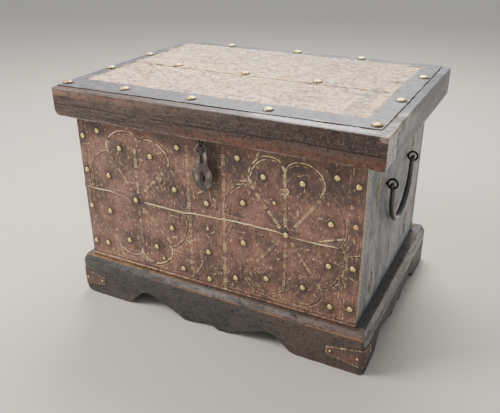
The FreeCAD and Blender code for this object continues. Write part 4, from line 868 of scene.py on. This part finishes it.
# Lozenges tooled on each side: how far behind the front edge and how high their middles are. Half
# their width and height are in millimetres.
LOZENGES = [(0.083, 0.352), (0.088, 0.152), (0.345, 0.352), (0.350, 0.165)]
LOZENGE_HALF, LOZENGE_TALL = 12, 27
for side, sign in (("right", 1), ("left", -1)):
    node = f"{side}_side_leather"
    low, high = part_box(node)
    long = high.y - low.y
    bm, behind, up = skin_grid(0, long, low.z, high.z, SIDE_SPACING)
    marks = Tooling(behind * 1000, up * 1000)
    for back, height in LOZENGES:
        x, z = back * 1000, height * 1000
        for shrink in (1, 0.5):
            half, tall = LOZENGE_HALF * shrink, LOZENGE_TALL * shrink
            ring = [(x - half, z), (x, z + tall), (x + half, z), (x, z - tall), (x - half, z)]
            marks.groove([(a - 4.4, b - 1.0) for a, b in ring], 3.0, 1.2)
            marks.line(ring, 2.4, 1.6, 0.6, broken=0.5)
    for height in np.arange(112, 426, 11.5):
        marks.groove([(8, height - 4), (15, height + 2)], 2.6, 0.8)
        marks.line([(6, height), (14, height + 6)], 2.6, 1.4, 0.3, broken=0)
    scatter_flecks(marks, SIDE_FLECKS, np.random.default_rng(12 + sign), (4, 104), (438, 428))
    frayed = noise_at(0.5, behind * 90, up * 60)
    edge = np.clip(1 - behind / 0.006, 0, 1) * np.clip(0.55 + frayed, 0, 1)
    soot = np.clip(peak(behind - long + 0.013, 0.004) * (0.7 + 1.3 * frayed), 0, 0.9)
    soot = soot + 0.5 * np.clip(1 - (up - low.z) / 0.02, 0, 1)
    soot = np.clip(np.maximum(soot, marks.dirty * 0.85), 0, 1)
    hills = noise_at(3.3, behind * 9, up * 9) * 0.5 + noise_at(7.3, behind * 45, up * 30) * 0.12
    fade = np.clip(inside_of(behind, up, 0, long, low.z, high.z) / 0.004, 0, 1)
    out = max(abs(low.x), abs(high.x)) + (marks.raised + hills * 0.8) * 0.001 * fade
    rubbed = np.maximum(marks.rubbed, edge)
    places = np.stack([sign * out, low.y + behind, up], 1)
    skin = closed_skin(bm, f"side_skin_{side}", side_leather, places, (-sign * SKIN_THICK, 0, 0),
                       rubbed=(rubbed, 0.0), soot=(soot, 0.3))
    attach(skin, "chest")
    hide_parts(node)


# The lid's frame: four heavy rails of dark red-brown timber with open grain and long cracks. The
# back and side rails have gone grey, and the front one is worn round, with a painted highlight of
# pale sheen along the right half of its top.
RAIL_COLOURS = ((0.042, 0.029, 0.027), (0.100, 0.068, 0.058), (0.17, 0.125, 0.108))
GREY_RAIL_COLOURS = ((0.112, 0.109, 0.118), (0.155, 0.154, 0.166), (0.218, 0.218, 0.232))
GREY_WORN = (0.34, 0.31, 0.25)
# A pale grey: weathering on the front rail's end and lower arris, and a painted sheen on the tops.
BLEACH_AND_SHEEN = (0.60, 0.58, 0.58)
FRONT_RAIL_BANDS = [
    (0.430, 0.454, (0.140, 0.060, 0.038), 0.85, (-0.2, 0.1), 0.008),
    (0.456, 0.50, (0.052, 0.030, 0.025), 0.85, (0.0, 0.25), 0.008),
    (0.479, 0.4925, (0.27, 0.150, 0.110), 0.85, (0.02, -0.3), 0.004),
]
SIDE_RAIL_BANDS = [(0.4934, 0.50, (0.085, 0.083, 0.090), 0.9, None, 0.0005)]
front_rail_timber = timber("rail_timber_front", "x", RAIL_COLOURS, (0.29, 0.215, 0.18), crack=0.12,
                           rough=0.36, bands=FRONT_RAIL_BANDS, splits=[(0.460, 0.7)],
                           bleach_and_sheen_colour=BLEACH_AND_SHEEN, patches=[((0.353, -0.238, 0.497), 0.019)])
back_rail_timber = timber("rail_timber_back", "x", GREY_RAIL_COLOURS, GREY_WORN, crack=0.15, rough=0.40)
side_rail_timber = timber("rail_timber_side", "y", GREY_RAIL_COLOURS, GREY_WORN, crack=0.15, rough=0.40,
                          bleach_and_sheen_colour=BLEACH_AND_SHEEN, bands=SIDE_RAIL_BANDS,
                          patches=[((0.350, -0.185, 0.493), 0.017), ((0.350, -0.128, 0.493), 0.022)])
RAIL_STEPS = (0.012, 0.012, 0.006)
# How strongly a pale painted highlight of sheen lies on the front rail's top: places along it, and
# the strength there.
SHEEN_AT = [-0.35, 0.02, 0.09, 0.17, 0.29, 0.34]
SHEEN_BY = [0.0, 0.12, 0.45, 1.15, 1.05, 0.4]
WORN_CORNER = np.array([0.345, -0.252, 0.494])
for side, finish in (("front", front_rail_timber), ("back", back_rail_timber),
                     ("left", side_rail_timber), ("right", side_rail_timber)):
    rail = aged_copy(f"lid_rail_{side}", f"rail_{side}", 0.0012, RAIL_STEPS, finish, chew=0.0012,
                     wear_wide=0.007)
    spots = points_of(rail.data)
    facing = np.array([vert.normal for vert in rail.data.vertices])
    top_sheen, elsewhere = 0.12, 0.0
    if side == "front":
        # Painted highlight: a pale sheen on the front rail's top that grows towards its right end.
        top_sheen = np.interp(spots[:, 0], SHEEN_AT, SHEEN_BY)
        top_sheen = top_sheen * np.clip((spots[:, 1] + 0.2560) / 0.012, 0, 1) ** 1.3
        low_arris = 0.45 * np.clip(1 - np.abs(spots[:, 2] - 0.4355) / 0.0035, 0, 1)
        elsewhere = np.maximum(low_arris, 0.62 * np.clip(facing[:, 0] * 2 - 1, 0, 1))
    top_sheen = np.clip(facing[:, 2] * 1.6 - 0.5, 0, 1) * top_sheen
    off_corner = np.linalg.norm(spots - WORN_CORNER, axis=1)
    note(rail.data, "wear", read_wear(rail.data) + 0.95 * peak(off_corner, 0.024))
    note(rail.data, "bleach_and_sheen", np.maximum(top_sheen, elsewhere))
    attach(rail, "lid")
    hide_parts(f"lid_rail_{side}")


# The lid's two boards and the batten under their joint: plain timber, covered above by leather and
# bare below.
for node in ("lid_board_front", "lid_board_back", "lid_batten"):
    board = aged_copy(node, node.replace("lid_", "lid_inner_"), 0.001, (0.03, 0.03, 0.03), carcase_along_x,
                      chew=0.0004)
    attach(board, "lid")
    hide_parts(node)


# The lid's skins: two sheets of leather bleached and worn to a mottled beige, the back one lapping
# the front one in the middle. Faint frames are tooled along their edges.
def bleached_leather():
    """Beige leather, streaked and mottled from side to side, with specks, darker parts where the mesh
    notes kept colour and painted shade, and dirt and painted shade where the mesh notes it."""
    made = Finish("bleached_leather", Specular_IOR_Level=0.04)
    made.colour = blend_of(made.clouds(9.0, 5.0, 0.35, 0.65), (0.66, 0.42, 0.275), (0.97, 0.68, 0.455))
    made.coat(made.clouds(5.0, 4.0, 0.46, 0.64), (0.56, 0.43, 0.36), 0.5)
    streak = made.clouds(1.0, 4.0, 0.46, 0.64, stretch=(42.0, 85.0, 1.0), twist=0.4)
    made.coat(streak, (1.0, 0.76, 0.52), 0.75)
    worn = made.clouds(1.0, 4.0, 0.52, 0.63, stretch=(50.0, 95.0, 1.0), twist=0.8)
    made.coat(worn, (0.32, 0.215, 0.16), 0.75)
    mottle = cloudy(made.where, 1.0, 6.0, (95.0, 150.0, 1.0), 0.6)
    made.coat(stepped(mottle, 0.38, 0.50, 0.85, 0.0), (0.33, 0.22, 0.17))
    made.coat(stepped(mottle, 0.51, 0.60, 0.0, 0.85), (1.0, 0.86, 0.67))
    golden = made.clouds(1.0, 5.0, 0.52, 0.66, stretch=(30.0, 75.0, 1.0), twist=0.5)
    made.coat(golden, (0.90, 0.58, 0.30), 0.65)
    speck = made.clouds(1.0, 3.0, 0.55, 0.62, stretch=(170.0, 210.0, 1.0))
    made.coat(times(speck, made.clouds(13.0, 3.0, 0.42, 0.6, 0.3, 1.0)), (0.17, 0.125, 0.11), 0.95)
    made.coat(made.clouds(38.0, 4.0, 0.5, 0.7), (0.68, 0.44, 0.34), 0.35)
    # Darker where the mesh notes kept colour and painted shade.
    kept = times(made.noted("shaded"), stepped(mottle, 0.42, 0.58, 1.0, 0.35))
    made.coat(kept, (0.31, 0.275, 0.225), 0.9)
    rubbed = worked("ADD", made.noted("rubbed"), times(cloudy(made.where, 420.0, 2.0), 0.4))
    made.coat(stepped(rubbed, 0.4, 0.9), (0.88, 0.62, 0.32))
    made.coat(made.noted("soot"), (0.03, 0.021, 0.018))
    return made.finished(made.clouds(40.0, 4.0, 0.3, 0.7, 0.45, 0.7), 0.5, 0.0007,
                         worked("ADD", speck, streak))


lid_leather = bleached_leather()
LID_SPACING = 0.0018
LID_LAP_WIDE = 0.0243
LID_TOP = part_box("lid_leather_front")[0].z
lap_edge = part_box("lid_leather_back")[0].y
lid_studs = stud_places("lid_studs")
# Frames tooled at the right end of the front and the back skin.
LID_FRAMES = {"lid_leather_front": [(238, -168), (238, 20), (272, 20), (272, -168)],
              "lid_leather_back": [(242, 35), (242, 214), (272, 214), (272, 35)]}
# Tears in the lid's skins: middle, reach across and reach back. Then the parts that have kept a
# darker, greener colour: two corners of a box, and how strongly.
LID_TEARS = [(272, 219, 17, 6), (277, 72, 13, 7), (-292, -3, 18, 4), (-254, -8, 15, 4), (283, 221, 9, 8)]
SHADED = [(240, -176, 276, 6, 1.0), (242, 36, 278, 226, 0.55), (-330, 200, 292, 229, 0.5)]


def lid_skin(name, node, lapped):
    """One of the lid's skins: a grid looking up, with the back one stepped up over the lap."""
    low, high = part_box(node)
    west, south, east, north = (edge * 1000 for edge in (low.x, low.y, high.x, high.y))
    bm, across, deep = skin_grid(low.x, high.x, low.y, high.y, LID_SPACING)
    marks = Tooling(across * 1000, deep * 1000)
    marks.line(LID_FRAMES[node] + LID_FRAMES[node][:1], 1.8, 0.9, 0.4, broken=0.4)
    marks.line([(east - 9, south), (east - 5, north)], 3.2, 1.1, 0.4, broken=0.5)
    if lapped:
        marks.line(smooth_path([(262, 60), (246, 84), (250, 116), (268, 134)]), 1.8, 0.8, 0.3, broken=0.3)
    marks.line([(west + 12, south), (west + 12, north)], 1.2, 0.5, 0.3, broken=0.6)
    off_lap = deep * 1000 - lap_edge * 1000
    split = noise_at(across * 14, 2.2, 0) + 0.5 * noise_at(across * 70, 1.2, 0)
    deep_split = noise_at(3.1, deep * 30, 0) + 0.5 * noise_at(5.1, deep * 90, 0)
    if lapped:
        worn_west = np.interp(across, [-0.05, 0.12], [0.55, 0.1])
        lap = peak(off_lap - 5 - 5 * split, 6.0) * np.clip(worn_west + 1.8 * split, 0, 1.2)
        marks.rubbed = np.maximum(marks.rubbed, lap)
    soot = peak(off_lap, 3.0) * np.clip(split * 2.4 - (across > -0.05) * 0.5, 0, 0.9)
    for spot, _, radius, _ in lid_studs:
        soot = np.maximum(soot, 0.5 * peak(np.hypot(across - spot.x, deep - spot.y), radius * 1.35))
    for tear in LID_TEARS:
        soot = np.maximum(soot, blot(across, deep, *tear))
    off_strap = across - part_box("lid_strap_left")[1].x
    # Painted shade in the gap at the left strap's inner edge: a dark, broken line.
    soot = np.maximum(soot, peak(off_strap - 0.0035, 0.0036) * np.clip(0.9 + 1.5 * deep_split, 0, 0.97))
    shaded = np.zeros(len(across))
    for low_x, low_y, high_x, high_y, strength in SHADED:
        inside = inside_of(across * 1000, deep * 1000, low_x, high_x, low_y, high_y)
        shaded = np.maximum(shaded, strength * np.clip(inside / 4 + 0.5 + split, 0, 1))
    shaded = np.maximum(shaded, 0.9 * np.clip(1.2 - off_strap / 0.022, 0, 1) * (deep < 0.1))
    # Painted shade: the skins grow darker towards the back of the lid.
    shaded = np.maximum(shaded, np.clip(deep / 0.2, 0, 0.8) + 0.15 * split * (deep > 0))
    hills = noise_at(across * 8, deep * 14, 2.3) * 0.45 + noise_at(across * 30, deep * 80, 6.1) * 0.16
    fade = np.clip(inside_of(across, deep, low.x, high.x, low.y, high.y) / 0.004, 0, 1)
    over = np.clip((lap_edge + LID_LAP_WIDE + LAP_SLOPE - deep) / LAP_SLOPE, 0, 1) * float(lapped)
    up = LID_TOP + SKIN_THICK * (1 + over) + (marks.raised * 0.6 + hills) * 0.001 * fade
    skin = closed_skin(bm, name, lid_leather, np.stack([across, deep, up], 1), (0, 0, -SKIN_THICK),
                       rubbed=(marks.rubbed, 0.3), soot=(soot, 0.4), shaded=(shaded, 0.0))
    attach(skin, "lid")
    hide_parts(node)


lid_skin("lid_skin_front", "lid_leather_front", False)
lid_skin("lid_skin_back", "lid_leather_back", True)


# The straps round the lid's edge: flat bands of smooth, dark leather, wrinkled across, that cover
# the skins' edges and are held by large studs. Their blue-grey tint is a painted sheen, and a
# shadow is painted along their lower edge.
# The colours' blue-grey tint is a painted sheen over dark leather.
strap_leather = plain_leather("strap_leather", (0.105, 0.100, 0.113), (0.200, 0.189, 0.212),
                              (0.56, 0.49, 0.42), (0.32, 0.50), wrinkle=0.55, grainy=0.42)
STRAP_FOOT = 0.4958
for side in ("front", "back", "left", "right"):
    strap = aged_copy(f"lid_strap_{side}", f"strap_{side}", 0.0008, (0.006, 0.006, 0.006), strap_leather,
                      wear_wide=0.003)
    wear, spots = read_wear(strap.data), points_of(strap.data)
    fleck = noise_at(*(spots.T * 60))
    note(strap.data, "rubbed", np.clip(wear * (0.35 + fleck), 0, 1))
    # Painted shadow along the strap's lower edge, where it meets the rail and the skin.
    painted_shadow_under = np.clip((STRAP_FOOT - spots[:, 2]) / 0.0006, 0, 1)
    west_dark = 0.30 * np.clip(-spots[:, 0] / 0.25, 0, 1) * (1 + fleck)
    dark = np.maximum(wear * (0.2 - fleck), painted_shadow_under * (0.8 + 2 * fleck)) + west_dark
    note(strap.data, "soot", np.clip(dark, 0, 1))
    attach(strap, "lid")
    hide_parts(f"lid_strap_{side}")


# The lid's studs: larger brass domes along the straps and the lap. Two have gone coppery.
front_corner = max((stud for stud in lid_studs if stud[0].y < -0.15), key=lambda stud: stud[0].x)
west_corner = min((stud for stud in lid_studs if stud[0].x < -0.33), key=lambda stud: stud[0].y)
coppery = [front_corner, west_corner]
gilt_brass = brass("gilt_brass", (0.95, 0.73, 0.30), rough=0.32)
stud_piece("lid_domes", "lid_studs", [stud for stud in lid_studs if stud not in coppery], "lid", gilt_brass,
           turns=28, rings=8)
stud_piece("lid_domes_coppery", "lid_studs", coppery, "lid", copper_brass, turns=28, rings=8)


# The ironwork: everything is hand-forged, dark and dull, with rust in its hollows and lighter where
# it is handled. The hasp and the two staples come first.
def forged_iron(name, dark, worn, worn_at, rough=0.5, patch=90.0, metallic=0.45, edge=0.25, shine=0.5):
    """Rusty iron that shows its worn colour in patches of a scale, above a share. What the mesh
    notes as wear adds to them by the strength of edge."""
    made = Finish(name, Metallic=metallic, Specular_IOR_Level=shine)
    made.colour = blend_of(times(made.clouds(130.0, 4.0, 0.5, 0.72), 0.6), dark, (0.075, 0.038, 0.022))
    handled = worked("ADD", times(made.noted("wear"), edge), times(cloudy(made.where, patch, 4.0), 0.9))
    made.coat(stepped(handled, worn_at, worn_at + 0.3), worn)
    return made.finished(made.clouds(70.0, 4.0, 0.3, 0.7, rough - 0.1, rough + 0.15), 0.5, 0.0006,
                         cloudy(made.where, 190.0, 4.0))


black_iron = forged_iron("black_iron", (0.020, 0.018, 0.017), (0.16, 0.14, 0.13), 0.85)
hasp_iron = forged_iron("hasp_iron", (0.085, 0.074, 0.069), (0.36, 0.30, 0.25), 0.38, patch=75.0, edge=-0.08)

hasp = aged_copy("hasp", "hasp_plate", 0.0007, (0.002, 0.002, 0.003), hasp_iron, chew=0.0004, wear_wide=0.004)
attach(hasp, "hasp")
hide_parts("hasp")


def rounded_rod(node, name, body, finish):
    """A copy of a flat-sided forged rod, rounded by subdivision."""
    bm = merged_copy(node)
    bmesh.ops.join_triangles(bm, faces=bm.faces, angle_face_threshold=math.radians(12),
                             angle_shape_threshold=math.radians(180))
    for face in bm.faces:
        face.smooth = True
    rod = as_piece(bm, name, finish)
    note(rod.data, "wear", np.zeros(len(rod.data.vertices)))
    rounding = rod.modifiers.new("rounded", "SUBSURF")
    rounding.levels = rounding.render_levels = 2
    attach(rod, body)
    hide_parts(node)


rounded_rod("hasp_staple", "hasp_staple_rod", "lid", black_iron)
rounded_rod("front_staple", "front_staple_rod", "chest", black_iron)


# The handles: on each side a bail that swells towards its middle hangs in two split eyes. Hands
# have kept the bails shiny.
handled_iron = forged_iron("handled_iron", (0.016, 0.016, 0.018), (0.07, 0.07, 0.07), 0.8, rough=0.24,
                           metallic=0.0, shine=1.0)
for side in ("left", "right"):
    rounded_rod(f"bail_{side}", f"bail_{side}_rod", f"bail_{side}", handled_iron)
    for end in ("front", "back"):
        eye = aged_copy(f"handle_eye_{side}_{end}", f"eye_{side}_{end}", 0.0005, (0.02, 0.02, 0.02),
                        black_iron, wear_wide=0.003)
        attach(eye, "chest")
        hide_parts(f"handle_eye_{side}_{end}")


# The hinges at the back: strap leaves with rolled knuckles on a riveted pin, held by large nails.
for side in ("left", "right"):
    for part, body in (("body_leaf", "chest"), ("lid_leaf", "lid"), ("pin", "chest")):
        node = f"hinge_{part}_{side}"
        leaf = aged_copy(node, f"hinge_{part}_iron_{side}", 0.0004, (0.02, 0.02, 0.02), black_iron,
                         wear_wide=0.003)
        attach(leaf, body)
        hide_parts(node)
for part, body in (("body", "chest"), ("lid", "lid")):
    stud_piece(f"hinge_nails_on_{part}", f"hinge_nails_{part}", stud_places(f"hinge_nails_{part}"), body,
               black_iron, slot="iron", turns=14, rings=4)
